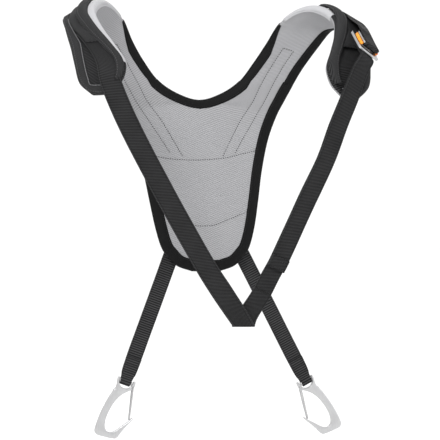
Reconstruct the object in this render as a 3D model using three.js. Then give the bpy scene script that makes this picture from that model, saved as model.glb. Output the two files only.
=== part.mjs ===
// Padded shoulder harness: a Y-shaped yoke, a folded chest strap with a quick-release buckle,
// and two rear straps that end in wire-gate carabiners.
// Millimetres. +X is the right hand of a viewer who faces the wearer, -Y points to that viewer, +Z is up.
// The origin is where the yoke rests on the wearer: centred, at the height of the shoulder arches.
import * as THREE from 'three';
import { mergeVertices } from 'three/addons/utils/BufferGeometryUtils.js';

// ---------------------------------------------------------------- driving dimensions
const FOAM_HALF = 5;            // half the thickness of the foam core
const SKIN_GAP = 1.0;           // between the foam and the fabrics over it
const SKIN = 1.2;               // lining and outer fabric
const TAPE = 0.9;               // edge binding
const BAND = 12;                // width of the edge binding on each face
const SEAM_GAP = 0.3;           // between pieces that touch
const EDGE_GAP = 0.6;           // between the foam's edge and the tape folded over it
const WEB = 1.6;                // thickness of the 25 mm webbing
const WEB_HALF = 12.5;          // half the width of the chest strap
const REAR_WEB = 1.8;           // thickness of the ribbed 20 mm webbing
const REAR_HALF = 10;           // half the width of a rear strap
const WING_RISE = 3;            // thickness of a padded border wing
const OUTER_FACE = FOAM_HALF + SKIN_GAP + SKIN;      // outer fabric's outside face
const STRAP_LEVEL = OUTER_FACE + SEAM_GAP;           // underside of webbing that lies on the yoke
const WING_LEVEL = STRAP_LEVEL + WEB + SEAM_GAP;     // underside of a wing that covers the webbing
const STEP = 0.5;               // spacing of the yoke's mesh rows

const FOAM = 0x55565a;
const BLACK = 0x29292b;
const WEBBING = 0x343436;
const LINING = 0xa3a2a6;
const FACING = 0xc9c7cc;
const METAL = 0xc2c4c6;
const ORANGE = 0xf28a14;

// ---------------------------------------------------------------- yoke outline, right half
// The rows of the yoke are numbered from 0 at the bottom hem to 22 at the end of the front pad.
const HEM_ROW = -1;             // rows below 0 run along the bottom hem to the middle
const NECK_ROW = 8;             // the row that meets the middle of the neckline
const ARM_ROW = 10;             // the foam is cut here into a back panel and two arms
const LAST_ROW = 22;
const CENTRE_LINE = [
  [0, -48.8, -328], [0, -48.4, -324], [0, -47.2, -314], [0, -45.6, -300], [0, -42, -272],
  [0, -36, -240], [0, -27, -200], [0, -15, -160], [0, -2, -112],
];
const NECK_EDGE = [
  [0, -2, -112], [30, -1, -103], [55, -1, -86], [75, -3, -60], [90, -10, -36],
  [103, -24, -12], [118, -44, 1], [133, -66, 4], [145, -90, -4], [150, -113, -18],
  [144, -136, -39], [132, -160, -62], [122.5, -177, -82], [127, -182, -102], [142, -182, -118],
];
const ARMHOLE_EDGE = [
  [18, -48.8, -327.5], [36, -48.1, -321], [48, -46.8, -309], [55.5, -46, -297], [62.5, -43, -272],
  [68.5, -37, -240], [75.5, -28, -201], [86, -18, -161], [99, -10, -130], [110, -8, -110],
  [121, -6.5, -91], [134, -10, -68], [151, -22, -42], [167, -38, -19], [176, -57, -17],
  [182, -78, -21], [184.5, -98, -28], [185, -117, -37], [184, -134, -49], [181.5, -150, -66],
  [178.5, -162, -87], [174, -170, -106], [160.5, -176, -119],
];

const vec = (a) => new THREE.Vector3(a[0], a[1], a[2]);
const curve = (points) => new THREE.CatmullRomCurve3(points.map(vec), false, 'catmullrom', 0.5);
const centreLine = curve(CENTRE_LINE);
const neckEdge = curve([[-NECK_EDGE[1][0], NECK_EDGE[1][1], NECK_EDGE[1][2]], ...NECK_EDGE]);
const armholeEdge = curve(ARMHOLE_EDGE);

const clamp = (x, low, high) => Math.min(high, Math.max(low, x));
const lerp = (a, b, f) => a + (b - a) * f;

// A value that changes linearly between [row, value] pairs.
function profile(pairs, row) {
  for (let k = 1; k < pairs.length; k += 1) {
    if (row <= pairs[k][0]) {
      const f = clamp((row - pairs[k - 1][0]) / (pairs[k][0] - pairs[k - 1][0]), 0, 1);
      return lerp(pairs[k - 1][1], pairs[k][1], f);
    }
  }
  return pairs[pairs.length - 1][1];
}

function innerPoint(row) {
  if (row <= NECK_ROW) return centreLine.getPoint(row / NECK_ROW);
  return neckEdge.getPoint((row - NECK_ROW + 1) / NECK_EDGE.length);
}

function outerPoint(row) {
  return armholeEdge.getPoint(row / LAST_ROW);
}

// The outline from the middle of the bottom hem, at HEM_ROW, along the armhole edge.
function hemPoint(row) {
  if (row >= 0) return outerPoint(row);
  return innerPoint(0).lerp(outerPoint(0), row - HEM_ROW);
}

// The middle surface of the yoke: across is 0 on the neck side and 1 on the armhole side.
function middle(row, across) {
  return innerPoint(row).lerp(outerPoint(row), across);
}

// The direction that points away from the wearer.
function normal(row, across) {
  const d = 0.05;
  const ahead = row <= NECK_ROW ? Math.min(row + d, NECK_ROW) : Math.min(row + d, LAST_ROW);
  const along = middle(ahead, across).sub(middle(Math.max(row - d, 0), across));
  const over = outerPoint(row).sub(innerPoint(row));
  const away = along.cross(over);
  if (row <= NECK_ROW && across === 0) away.x = 0;      // the two halves meet square to the middle
  return away.normalize();
}

function yokePoint(row, across, height) {
  return middle(row, across).addScaledVector(normal(row, across), height);
}

// Unit vector in the yoke's surface that points from an edge into the fabric: square to the edge
// on the panel, and along the rows on the arms.
function inward(edgePoint, row, across, low, high) {
  if (row >= ARM_ROW) {
    return outerPoint(row).sub(innerPoint(row)).normalize().multiplyScalar(across > 0.5 ? -1 : 1);
  }
  const d = 0.1;
  const along = edgePoint(clamp(row + d, low, high)).sub(edgePoint(clamp(row - d, low, high)));
  const into = along.cross(normal(Math.max(row, 0), across)).normalize();
  if (row === low) into.setX(0).normalize();
  return into.multiplyScalar(edgePoint === innerPoint ? -1 : 1);
}

// Width of the light facing on the outer face of the arm, and the neck-side inset of each fabric.
const BINDING_END = 13;
const FACING_WIDTH = [[BINDING_END, 2], [15, 13], [17, 13], [20, 2], [LAST_ROW, 2]];
const NECK_BAND = [[NECK_ROW, BAND], [11.5, BAND], [BINDING_END, 2], [LAST_ROW, 2]];
const ARM_BAND = [[0, BAND], [12, BAND], [14, 9], [16, 6], [LAST_ROW, 6]];

function insetRow(row, neckInset) {
  const outer = outerPoint(row);
  const band = profile(ARM_BAND, row) + 3 * SEAM_GAP;
  outer.addScaledVector(inward(hemPoint, row, 1, HEM_ROW, LAST_ROW), band);
  let inner;
  if (row < NECK_ROW) {
    const top = CENTRE_LINE[NECK_ROW][2];
    const bottom = CENTRE_LINE[0][2];
    const share = (innerPoint(row).z - bottom) / (top - bottom);
    const wanted = lerp(bottom + BAND + SEAM_GAP, top - BAND - SEAM_GAP, share);
    inner = centreAtHeight(wanted);
  } else {
    inner = innerPoint(row);
    inner.addScaledVector(inward(innerPoint, row, 0, NECK_ROW, LAST_ROW), neckInset + SEAM_GAP);
  }
  return [inner, outer];
}

function centreAtHeight(z) {
  let low = 0;
  let high = 1;
  for (let k = 0; k < 30; k += 1) {
    const mid = (low + high) / 2;
    if (centreLine.getPoint(mid).z < z) low = mid;
    else high = mid;
  }
  return centreLine.getPoint(low);
}

// ---------------------------------------------------------------- closed solids from sheets
// Triangles of a slab between pointAt(i, j, 0) and pointAt(i, j, 1); walls close its four edges.
function slab(columns, rows, pointAt, walls = {}) {
  const triangles = [];
  const quad = (a, b, c, d) => triangles.push([a, b, c], [a, c, d]);
  for (let i = 0; i < columns; i += 1) {
    for (let j = 0; j < rows; j += 1) {
      quad(pointAt(i, j, 1), pointAt(i + 1, j, 1), pointAt(i + 1, j + 1, 1), pointAt(i, j + 1, 1));
      quad(pointAt(i, j, 0), pointAt(i, j + 1, 0), pointAt(i + 1, j + 1, 0), pointAt(i + 1, j, 0));
    }
    if (!walls.openLow || !walls.openLow(i)) {
      quad(pointAt(i, 0, 0), pointAt(i + 1, 0, 0), pointAt(i + 1, 0, 1), pointAt(i, 0, 1));
    }
    quad(pointAt(i + 1, rows, 1), pointAt(i + 1, rows, 0), pointAt(i, rows, 0), pointAt(i, rows, 1));
  }
  for (let j = 0; j < rows; j += 1) {
    quad(pointAt(0, j, 1), pointAt(0, j + 1, 1), pointAt(0, j + 1, 0), pointAt(0, j, 0));
    quad(pointAt(columns, j, 0), pointAt(columns, j + 1, 0), pointAt(columns, j + 1, 1),
      pointAt(columns, j, 1));
  }
  return triangles;
}

function mirrored(triangles) {
  const flip = (p) => new THREE.Vector3(-p.x, p.y, p.z);
  return triangles.map(([a, b, c]) => [flip(a), flip(c), flip(b)]);
}

function volume(triangles) {
  return triangles.reduce((sum, [a, b, c]) => sum + a.dot(b.clone().cross(c)) / 6, 0);
}

function closedGeometry(triangles) {
  const outward = volume(triangles) > 0;
  const positions = [];
  for (const [a, b, c] of triangles) {
    for (const p of outward ? [a, b, c] : [a, c, b]) positions.push(p.x, p.y, p.z);
  }
  const geometry = new THREE.BufferGeometry();
  geometry.setAttribute('position', new THREE.Float32BufferAttribute(positions, 3));
  const welded = mergeVertices(geometry, 1e-3);
  welded.computeVertexNormals();
  return welded;
}

const harness = new THREE.Group();
harness.name = 'shoulder_harness';

function addMesh(name, geometry, color, roughness, metalness = 0, parent = harness) {
  const material = new THREE.MeshStandardMaterial({ color, roughness, metalness });
  const mesh = new THREE.Mesh(geometry, material);
  mesh.name = name;
  parent.add(mesh);
  return mesh;
}

function addPair(stem, triangles, color, roughness) {
  addMesh(`right_${stem}`, closedGeometry(triangles), color, roughness);
  addMesh(`left_${stem}`, closedGeometry(mirrored(triangles)), color, roughness);
}

// ---------------------------------------------------------------- yoke
function foam() {
  const gapRow = ARM_ROW + 0.02;
  const part = (first, last, slabRows, openLow) => {
    const at = (i, j, side) => {
      const row = first < ARM_ROW ? i * STEP : Math.max(first + i * STEP, gapRow);
      return yokePoint(row, j / slabRows, side ? FOAM_HALF : -FOAM_HALF);
    };
    return slab(Math.round((last - first) / STEP), slabRows, at, { openLow });
  };
  const panel = part(0, ARM_ROW, 3, (i) => i * STEP < NECK_ROW);
  addMesh('panel_foam', closedGeometry([...panel, ...mirrored(panel)]), FOAM, 0.95);
  addPair('arm_foam', part(ARM_ROW, LAST_ROW, 6), FOAM, 0.95);
}

// A fabric that covers one face of the whole yoke, set in from its edges.
function yokeFabric(name, neckInset, low, high, color) {
  const slabRows = 3;
  const at = (i, j, side) => {
    const row = i * STEP;
    const across = j / slabRows;
    const [inner, outer] = insetRow(row, profile(neckInset, row));
    return inner.lerp(outer, across).addScaledVector(normal(row, across), side ? high : low);
  };
  const half = slab(LAST_ROW / STEP, slabRows, at, { openLow: (i) => i * STEP < NECK_ROW });
  addMesh(name, closedGeometry([...half, ...mirrored(half)]), color, 0.9);
}

// A tape folded over an edge: each lip is how far it reaches on one face. upAt gives the yoke's normal
// at a distance from the edge.
function tapeSection(point, into, upAt, lipBody, lipOuter) {
  const wall = FOAM_HALF + SKIN_GAP;
  const outline = [
    [[lipBody, -wall], [lipBody, -wall - TAPE]],
    [[-EDGE_GAP, -wall], [-EDGE_GAP - TAPE, -wall - TAPE]],
    [[-EDGE_GAP, wall], [-EDGE_GAP - TAPE, wall + TAPE]],
    [[lipOuter, wall], [lipOuter, wall + TAPE]],
  ];
  return (j, side) => {
    const [a, h] = outline[j][side];
    return point.clone().addScaledVector(into, a).addScaledVector(upAt(a), h);
  };
}

function normalFrom(row, across) {
  const width = innerPoint(row).distanceTo(outerPoint(row));
  const way = across > 0.5 ? -1 : 1;
  return (a) => normal(row, row < ARM_ROW ? across : across + (way * Math.max(a, 0)) / width);
}

function bindings() {
  const last = 14;
  const columns = Math.round((last - HEM_ROW) / STEP);
  const armholeAt = (i, j, side) => {
    const row = HEM_ROW + i * STEP;
    const across = row < 0 ? row - HEM_ROW : 1;
    const into = inward(hemPoint, row, across, HEM_ROW, LAST_ROW);
    const lip = profile(ARM_BAND, row) - SEAM_GAP;
    return tapeSection(hemPoint(row), into, normalFrom(Math.max(row, 0), across), lip, lip)(j, side);
  };
  const armhole = withoutStart(columns, 3, armholeAt);
  addMesh('armhole_binding', closedGeometry([...armhole, ...mirrored(armhole)]), BLACK, 0.8);
  const neckColumns = Math.round((BINDING_END - NECK_ROW) / STEP);
  const neckAt = (i, j, side) => {
    const row = NECK_ROW + i * STEP;
    const into = inward(innerPoint, row, 0, NECK_ROW, LAST_ROW);
    const lip = profile(NECK_BAND, row) - SEAM_GAP;
    return tapeSection(innerPoint(row), into, normalFrom(row, 0), lip, lip)(j, side);
  };
  const neck = withoutStart(neckColumns, 3, neckAt);
  addMesh('neck_binding', closedGeometry([...neck, ...mirrored(neck)]), BLACK, 0.8);
}

// A slab whose first end is left open, to be welded to its mirror image.
function withoutStart(columns, rows, pointAt) {
  const all = slab(columns, rows, pointAt);
  const startWall = (columns * (4 * rows + 4));
  return all.filter((_, k) => k < startWall || (k - startWall) % 4 > 1);
}

function facings() {
  const first = BINDING_END + STEP;
  const at = (i, j, side) => {
    const row = first + i * STEP;
    const into = inward(innerPoint, row, 0, NECK_ROW, LAST_ROW);
    const lip = profile(FACING_WIDTH, row) - SEAM_GAP;
    return tapeSection(innerPoint(row), into, normalFrom(row, 0), 1, lip)(j, side);
  };
  const reaching = (last) => slab(Math.round((last - first) / STEP), 3, at);
  addMesh('right_arm_facing', closedGeometry(reaching(16.5)), FACING, 0.9);
  addMesh('left_arm_facing', closedGeometry(mirrored(reaching(20))), FACING, 0.9);
}

// A strip that lies on the yoke between two distances from its neck edge, in millimetres.
function yokeStrip(first, last, from, to, low, high) {
  const at = (i, j, side) => {
    const row = first + i * STEP;
    const width = innerPoint(row).distanceTo(outerPoint(row));
    const across = (j ? to(row, width) : from(row, width)) / width;
    const up = normal(row, clamp(across, 0, 1));
    return middle(row, across).addScaledVector(up, side ? high : low);
  };
  return slab(Math.round((last - first) / STEP), 1, at);
}

// Distance of each neck wing from the neck edge, and its width, by row.
const RIGHT_WING_START = [[15, 7], [16.5, 0.5], [LAST_ROW, 0.5]];
const LEFT_WING_START = FACING_WIDTH.map(([row, width]) => [row, width * 0.55]);
const RIGHT_WING_WIDTH = [[15, 12], [18.5, 13], [20, 11], [21, 7]];
const LEFT_WING_WIDTH = [[15, 12], [18.5, 13], [19.5, 7.5], [21, 3.5]];

function frontPads() {
  const neckWing = (starts, widths) => yokeStrip(15, 21, (row) => profile(starts, row),
    (row) => profile(starts, row) + profile(widths, row), WING_LEVEL + 1, WING_LEVEL + 1 + WING_RISE);
  addMesh('right_neck_wing', closedGeometry(neckWing(RIGHT_WING_START, RIGHT_WING_WIDTH)), BLACK, 0.85);
  addMesh('left_neck_wing', closedGeometry(mirrored(neckWing(LEFT_WING_START, LEFT_WING_WIDTH))), BLACK,
    0.85);
  const wingWidth = (width) => Math.min(10, (width - 2 * WEB_HALF - 4) / 2);
  const outerWing = yokeStrip(15, 21.5, (row, width) => width - 1 - wingWidth(width),
    (row, width) => width - 1, STRAP_LEVEL, STRAP_LEVEL + WING_RISE - 1);
  addPair('outer_wing', outerWing, BLACK, 0.85);
}

// Distance of the middle of the shoulder webbing from the neck edge, by row.
const CHANNEL = [[7, 31], [8, 52], [9, 45], [10, 34], [11, 27], [12, 24], [13, 26], [14, 27], [15, 26],
  [16, 24], [18, 21], [18.5, 20.5]];

function shoulderWebbing() {
  const strip = yokeStrip(7.5, 18.5, (row) => profile(CHANNEL, row) - 8,
    (row) => profile(CHANNEL, row) + 8, STRAP_LEVEL, STRAP_LEVEL + WEB);
  addPair('shoulder_webbing', strip, WEBBING, 0.8);
}

// ---------------------------------------------------------------- straps
// A strap follows stations of a middle point and half of its width as a vector. It may cover only
// the stations from first to last, and lie at an offset from the route.
function strap(stations, thickness, steps, { offset = 0, first = 0, last = stations.length - 1 } = {}) {
  const path = curve(stations.map((s) => s[0]));
  const half = curve(stations.map((s) => s[1]));
  const total = Math.round((last - first) * steps);
  const at = (i, j, side) => {
    const t = (first + i / steps) / (stations.length - 1);
    const along = path.getTangent(t);
    const across = half.getPoint(t);
    const up = along.cross(across).normalize();
    const p = path.getPoint(t).addScaledVector(across, j ? 1 : -1);
    return p.addScaledVector(up, offset + (side - 0.5) * thickness);
  };
  return slab(total, 1, at);
}

function addStrap(name, stations, thickness, steps, range = {}) {
  return addMesh(name, closedGeometry(strap(stations, thickness, steps, range)), WEBBING, 0.8);
}

const scaled = (direction, length) => vec(direction).setLength(length).toArray();
const flipX = (p) => [-p[0], p[1], p[2]];

// The falling run leaves the left pad's channel and drops to a fold, which turns it backward.
const FOLD = [21, -166, -390];
const FOLD_RADIUS = 2;

function chestStrap() {
  const channelStation = (row, millimetres) => {
    const width = innerPoint(row).distanceTo(outerPoint(row));
    const point = yokePoint(row, millimetres / width, STRAP_LEVEL + WEB / 2 + 0.4);
    const side = outerPoint(row).sub(innerPoint(row)).setLength(WEB_HALF);
    return [flipX(point.toArray()), flipX(side.toArray())];
  };
  const slant = (x, z, length = WEB_HALF) => scaled([x, 0, z], length);
  const turn = (angle) => {
    const y = FOLD[1] - FOLD_RADIUS * Math.cos(angle);
    const z = FOLD[2] - FOLD_RADIUS * Math.sin(angle);
    return [[FOLD[0] + 2 * angle / Math.PI, y, z], [-14, 0, 0]];
  };
  addStrap('chest_strap_front', [
    channelStation(19, 22), channelStation(20, 21),
    [[-141, -189.8, -106], slant(-9.6, -4.2)],
    [[-118.1, -189, -158], slant(-9, -4.6)],
    [[-74.7, -181, -236.8], slant(-8.9, -4.9)],
    [[-29, -174, -314.7], slant(-8.7, -5.1)],
    [[-5.4, -171, -350.6], slant(-9.6, -4.6, 13)],
    [[12.1, -168.6, -376], slant(-12, -2.5, 13.5)],
    turn(0), turn(Math.PI / 4), turn(Math.PI / 2), turn(3 * Math.PI / 4), turn(Math.PI),
    [[28, -162.6, -379], slant(-12, 2.5, 13)],
    [[43.6, -163, -355], [-10.9, -1.5, 5]],
    [[55.4, -165, -332], [-10.8, -2, 5]],
  ], WEB, 2);
}

// ---------------------------------------------------------------- buckle
// The buckle's own axes: u across the strap, v up the strap, n away from the pad.
const BUCKLE = [171.2, -172.4, -54.6];
const BUCKLE_U = vec([0.76, 0.53, -0.376]).normalize();
const BUCKLE_N = vec([0.637, -0.484, 0.6]);
BUCKLE_N.addScaledVector(BUCKLE_U, -BUCKLE_N.dot(BUCKLE_U)).normalize();
const BUCKLE_V = BUCKLE_N.clone().cross(BUCKLE_U);
const FRAME_HALF = 19.3;
const WINDOW_HALF = 13;
const FRAME_TOP = 16;
const FRAME_BOTTOM = -15;
const BAR_TOP = -9.3;
const PLATE = 3;
const LEVER_PIVOT = [15.2, -5];
const TONGUE_LEVEL = 5.7;

function onBuckle(u, v, n) {
  const p = vec(BUCKLE).addScaledVector(BUCKLE_U, u).addScaledVector(BUCKLE_V, v);
  return p.addScaledVector(BUCKLE_N, n).toArray();
}

const buckle = new THREE.Group();
buckle.position.copy(vec(BUCKLE));
buckle.quaternion.setFromRotationMatrix(new THREE.Matrix4().makeBasis(BUCKLE_U, BUCKLE_V, BUCKLE_N));
harness.add(buckle);

function outline(points) {
  return new THREE.Shape(points.map(([x, y]) => new THREE.Vector2(x, y)));
}

function rounded(left, bottom, right, top, radius) {
  const shape = new THREE.Shape();
  shape.moveTo(left + radius, bottom);
  shape.lineTo(right - radius, bottom);
  shape.absarc(right - radius, bottom + radius, radius, -Math.PI / 2, 0);
  shape.lineTo(right, top - radius);
  shape.absarc(right - radius, top - radius, radius, 0, Math.PI / 2);
  shape.lineTo(left + radius, top);
  shape.absarc(left + radius, top - radius, radius, Math.PI / 2, Math.PI);
  shape.lineTo(left, bottom + radius);
  shape.absarc(left + radius, bottom + radius, radius, Math.PI, 1.5 * Math.PI);
  return shape;
}

function plate(shape, depth, level) {
  const geometry = new THREE.ExtrudeGeometry(shape, { depth, bevelEnabled: false, curveSegments: 4 });
  geometry.translate(0, 0, level);
  return geometry;
}

function bar(radius, length, sides = 12) {
  const geometry = new THREE.CylinderGeometry(radius, radius, length, sides);
  return geometry.rotateZ(Math.PI / 2);
}

function buckleParts() {
  const frame = rounded(-FRAME_HALF, FRAME_BOTTOM, FRAME_HALF, FRAME_TOP, 3);
  frame.holes.push(rounded(-WINDOW_HALF, BAR_TOP, WINDOW_HALF, 12.5, 1));
  addMesh('buckle_frame', plate(frame, PLATE, -PLATE / 2), METAL, 0.35, 1, buckle);

  const adjuster = addMesh('adjuster_bar', bar(1.5, 2 * (WINDOW_HALF - SEAM_GAP)), METAL, 0.35, 1, buckle);
  adjuster.position.set(0, 1, -1);

  for (const [name, side] of [['left', -1], ['right', 1]]) {
    const lever = new THREE.Shape();
    lever.moveTo(13.4, -9);
    lever.lineTo(17, -9);
    lever.quadraticCurveTo(18.4, 1, 16.6, 11);
    lever.lineTo(13.6, 11);
    lever.quadraticCurveTo(14.2, 1, 13.4, -9);
    const hole = new THREE.Path();
    hole.absarc(LEVER_PIVOT[0], LEVER_PIVOT[1], 1.1, 0, 2 * Math.PI, true);
    lever.holes.push(hole);
    const geometry = plate(lever, 3.6, 1.8);
    if (side < 0) geometry.rotateY(Math.PI).translate(0, 0, 7.2);
    addMesh(`${name}_release_lever`, geometry, ORANGE, 0.4, 0, buckle);

    const pin = addMesh(`${name}_lever_pin`, new THREE.CylinderGeometry(0.8, 0.8, 3.4, 10), METAL, 0.35, 1,
      buckle);
    pin.rotation.x = Math.PI / 2;
    pin.position.set(side * LEVER_PIVOT[0], LEVER_PIVOT[1], PLATE / 2 + SEAM_GAP + 1.7);
  }

  // The tongue is a plate with a slot for its webbing and a hook that drops into the frame's window.
  const tongue = rounded(-15.5, -9, 15.5, 11.8, 2);
  tongue.holes.push(rounded(-12.9, -5.8, 12.9, 5, 1));
  addMesh('buckle_tongue', plate(tongue, 2, TONGUE_LEVEL), METAL, 0.35, 1, buckle);
  const hook = addMesh('tongue_hook', new THREE.BoxGeometry(18, 3.4, 6), METAL, 0.35, 1, buckle);
  hook.position.set(0, 10, TONGUE_LEVEL - SEAM_GAP - 3);
}

// [v, n] of the webbing round the tongue's lower bar.
const TONGUE_TURN = [
  [-6, 8.85], [-8.4, 8.9], [-9.7, 8.6], [-10.3, 7.7], [-10.4, 6.7], [-10.3, 5.7], [-9.7, 4.8], [-8.4, 4.5],
  [-6.5, 4.45], [-4, 4.5],
];
// Half the webbing's width along the buckle, toward +u and toward -u.
const BUCKLE_RIGHT = BUCKLE_U.clone().multiplyScalar(WEB_HALF).toArray();
const BUCKLE_LEFT = BUCKLE_U.clone().multiplyScalar(-WEB_HALF).toArray();

function buckleStraps() {
  // The load run climbs from the fold, passes behind the lower bar and wraps the adjuster bar.
  const load = [
    [[55.6, -165.2, -331.6], [-10.8, -2, 5]],
    [[67.1, -167, -309.5], [-10.8, -3, 5]],
    [[98, -173, -241], [-11.1, -3.5, 4.5]],
    [[119.8, -179, -193], [-11.1, -3.8, 4]],
    [[133.5, -185, -152.3], [-11.4, -3.8, 3.2]],
    [[145.2, -190, -121.2], [-11.6, -4, 2.4]],
    [[153, -190.5, -101], [-11.3, -4.8, 2]],
    [[160.5, -188.5, -84], [-10.6, -5.6, 3]],
    [onBuckle(-2, -20, -5.2), BUCKLE_LEFT],
    [onBuckle(0, -13, -5.2), BUCKLE_LEFT],
    [onBuckle(0, -8, -5), BUCKLE_LEFT],
    [onBuckle(0, -3, -4.4), BUCKLE_LEFT],
    [onBuckle(0, 1, -3.7), BUCKLE_LEFT],
    [onBuckle(0, 3, -2.9), BUCKLE_LEFT],
    [onBuckle(0, 3.75, -1), BUCKLE_LEFT],
    [onBuckle(0, 3, 0.9), BUCKLE_LEFT],
    [onBuckle(0, 1, 1.7), BUCKLE_LEFT],
  ];
  addStrap('chest_strap_load', load, WEB, 2);
  // The tail comes back behind the lower bar and lies over the load run, down to a sewn hem.
  const onTop = WEB + SEAM_GAP;
  addStrap('strap_tail', load, WEB, 2, { offset: onTop, first: 0.5, last: 10.5 });
  addStrap('tail_hem', load, WEB, 2, { offset: 2 * onTop, first: 0.5, last: 1.0 });

  // The shoulder webbing's end crosses the arch, loops round the tongue's lower bar and is sewn back.
  const arch = outerPoint(16).sub(innerPoint(16)).setLength(WEB_HALF).toArray();
  const onArch = (row, across, height) => yokePoint(row, across, height).toArray();
  addStrap('tongue_webbing', [
    [onArch(15.5, 0.62, 15), arch],
    [onArch(16.5, 0.66, 17), arch],
    [onBuckle(-1, 22, 9.6), BUCKLE_RIGHT],
    [onBuckle(0, 8, 8.9), BUCKLE_RIGHT],
    ...TONGUE_TURN.map(([v, n]) => [onBuckle(0, v, n), BUCKLE_RIGHT]),
  ], WEB, 2);
}

// ---------------------------------------------------------------- back of the panel
// Depth of the panel's middle surface at a height, from its centre line.
function panelDepth(z) {
  return profile(CENTRE_LINE.map((p) => [p[2], p[1]]), z);
}

const REAR_LEVEL = OUTER_FACE + SEAM_GAP + 0.5;
const REAR_Y = panelDepth(-312) + REAR_LEVEL + REAR_WEB / 2 + 1;

function backOfPanel() {
  for (const name of ['left', 'right']) {
    const rear = REAR[name];
    const end = vec(rear.hinge).addScaledVector(rear.down, -REAR_WEB);
    const across = rear.across.clone().multiplyScalar(REAR_HALF).toArray();
    const station = (back) => {
      const p = end.clone().addScaledVector(rear.down, -back);
      p.y = Math.max(panelDepth(p.z) + REAR_LEVEL + REAR_WEB / 2, back > 0 ? -100 : REAR_Y);
      return [p.toArray(), across];
    };
    const stations = [80, 60, 40, 20, 0].map(station);
    addStrap(`${name}_rear_anchor`, stations, REAR_WEB, 2);
  }
  // Reinforcement patch over the sewn ends.
  const level = REAR_LEVEL + REAR_WEB + SEAM_GAP + 1;
  const rows = [-304, -285, -265, -245, -225, -205, -185, -165];
  const at = (i, j, side) => {
    const half = lerp(44, 62, i / (rows.length - 1));
    const y = panelDepth(rows[i]) + level + (side ? SKIN : 0);
    return new THREE.Vector3(lerp(-half, half, j / 2), y, rows[i]);
  };
  addMesh('back_patch', closedGeometry(slab(rows.length - 1, 2, at)), BLACK, 0.9);
}

// ---------------------------------------------------------------- rear straps and carabiners
// Local axes of a rear strap: a across it to the outside, b down it, c toward the viewer.
const PIN_RADIUS = 2.5;

function rearFrame(hinge, pin, side) {
  const down = vec(pin).sub(vec(hinge)).normalize();
  const across = new THREE.Vector3(-down.z * side, 0, down.x * side);
  return { hinge, pin, down, across, front: new THREE.Vector3(0, -1, 0) };
}

const REAR = {
  left: rearFrame([-46, REAR_Y, -319], [-101, REAR_Y, -468.5], -1),
  right: rearFrame([54, REAR_Y, -318], [134, REAR_Y, -472.5], 1),
};

const LOOP = PIN_RADIUS + SEAM_GAP + REAR_WEB / 2;
const PLY = REAR_WEB / 2 + 0.15;
// [b, c, half width] from the top of the strap, round the eye pin and up to the sewn end.
const LOOP_PATH = [
  [-110, 0, 10], [-60, -PLY, 10], [-36, -PLY, 10], [-14, -PLY, 9.4], [-7, -PLY - 0.6, 7.9],
  [-3, -LOOP + 0.35, 7.1], [0, -LOOP, 7], [LOOP * 0.7, -LOOP * 0.7, 6.6], [LOOP, 0, 6.5],
  [LOOP * 0.7, LOOP * 0.7, 6.6], [0, LOOP, 7], [-3, LOOP - 0.35, 7.1], [-7, PLY + 0.6, 7.9],
  [-14, PLY, 9.4], [-32, PLY, 10],
];

// Outline of the carabiner body: an eye with two ears at the top, a spine, a basket and a nose.
const CARABINER = [
  [8.2, -4], [11, -4], [10.6, 1.5], [9, 7.6], [9.6, 12.5], [11.2, 13.5], [11.4, 18], [13, 21.7],
  [15.2, 35], [16.6, 45], [17, 57.6], [16.7, 68.5], [15.4, 71.8], [12.4, 73.9], [9, 74],
  [-11, 72.2], [-14, 69.4], [-18.1, 56.4], [-25, 41.8], [-24.7, 40.2], [-23.2, 40.1],
  [-21, 45.2], [-15.3, 52.7], [-10.2, 60.3], [-6, 64.8], [-1.7, 66.5], [3, 65], [6.1, 60.8],
  [8.2, 51.5], [7.4, 40], [5, 28.5], [1, 19.4], [-3.5, 13.7], [-8.4, 9], [-12.5, 6.5],
  [-13.2, 2], [-12.6, -4], [-9.6, -4], [-9.4, 2], [-7.6, 5.6], [-4, 7.9], [-0.7, 8.4],
  [2.6, 7.9], [6.2, 5.6], [8, 2],
];
const BODY_HALF = 3;
const GATE_PIVOT = [-11, 2.4];
const WIRE = 1.1;

function inFrame(rear, a, b, c) {
  const p = vec(rear.pin).addScaledVector(rear.across, a).addScaledVector(rear.down, b);
  return p.addScaledVector(rear.front, c);
}

function framedGeometry(geometry, rear, side) {
  const basis = new THREE.Matrix4().makeBasis(rear.across, rear.down, rear.front);
  basis.setPosition(vec(rear.pin));
  geometry.applyMatrix4(basis);
  geometry.deleteAttribute('uv');
  geometry.deleteAttribute('normal');
  const plain = geometry.index ? geometry.toNonIndexed() : geometry;
  const p = plain.getAttribute('position');
  const triangles = [];
  for (let k = 0; k < p.count; k += 3) {
    triangles.push([0, 1, 2].map((m) => new THREE.Vector3().fromBufferAttribute(p, k + m)));
  }
  return closedGeometry(triangles);
}

function wireGate() {
  const wire = [
    [GATE_PIVOT[0], GATE_PIVOT[1], 4.4], [-12.6, 10, 4.4], [-14.6, 18, 4.3], [-18, 32, 3],
    [-19.9, 40.6, 2.3], [-20.3, 42.8, 1.2], [-20.4, 43.1, 0], [-20.3, 42.8, -1.2],
    [-19.9, 40.6, -2.3], [-18, 32, -3], [-14.6, 18, -4.3], [-12.6, 10, -4.4],
    [GATE_PIVOT[0], GATE_PIVOT[1], -4.4],
  ];
  const section = new THREE.Shape();
  section.absarc(0, 0, WIRE * 0.9, 0, 2 * Math.PI);
  return new THREE.ExtrudeGeometry(section, {
    steps: 30, extrudePath: curve(wire), bevelEnabled: false, curveSegments: 4,
  });
}

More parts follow.
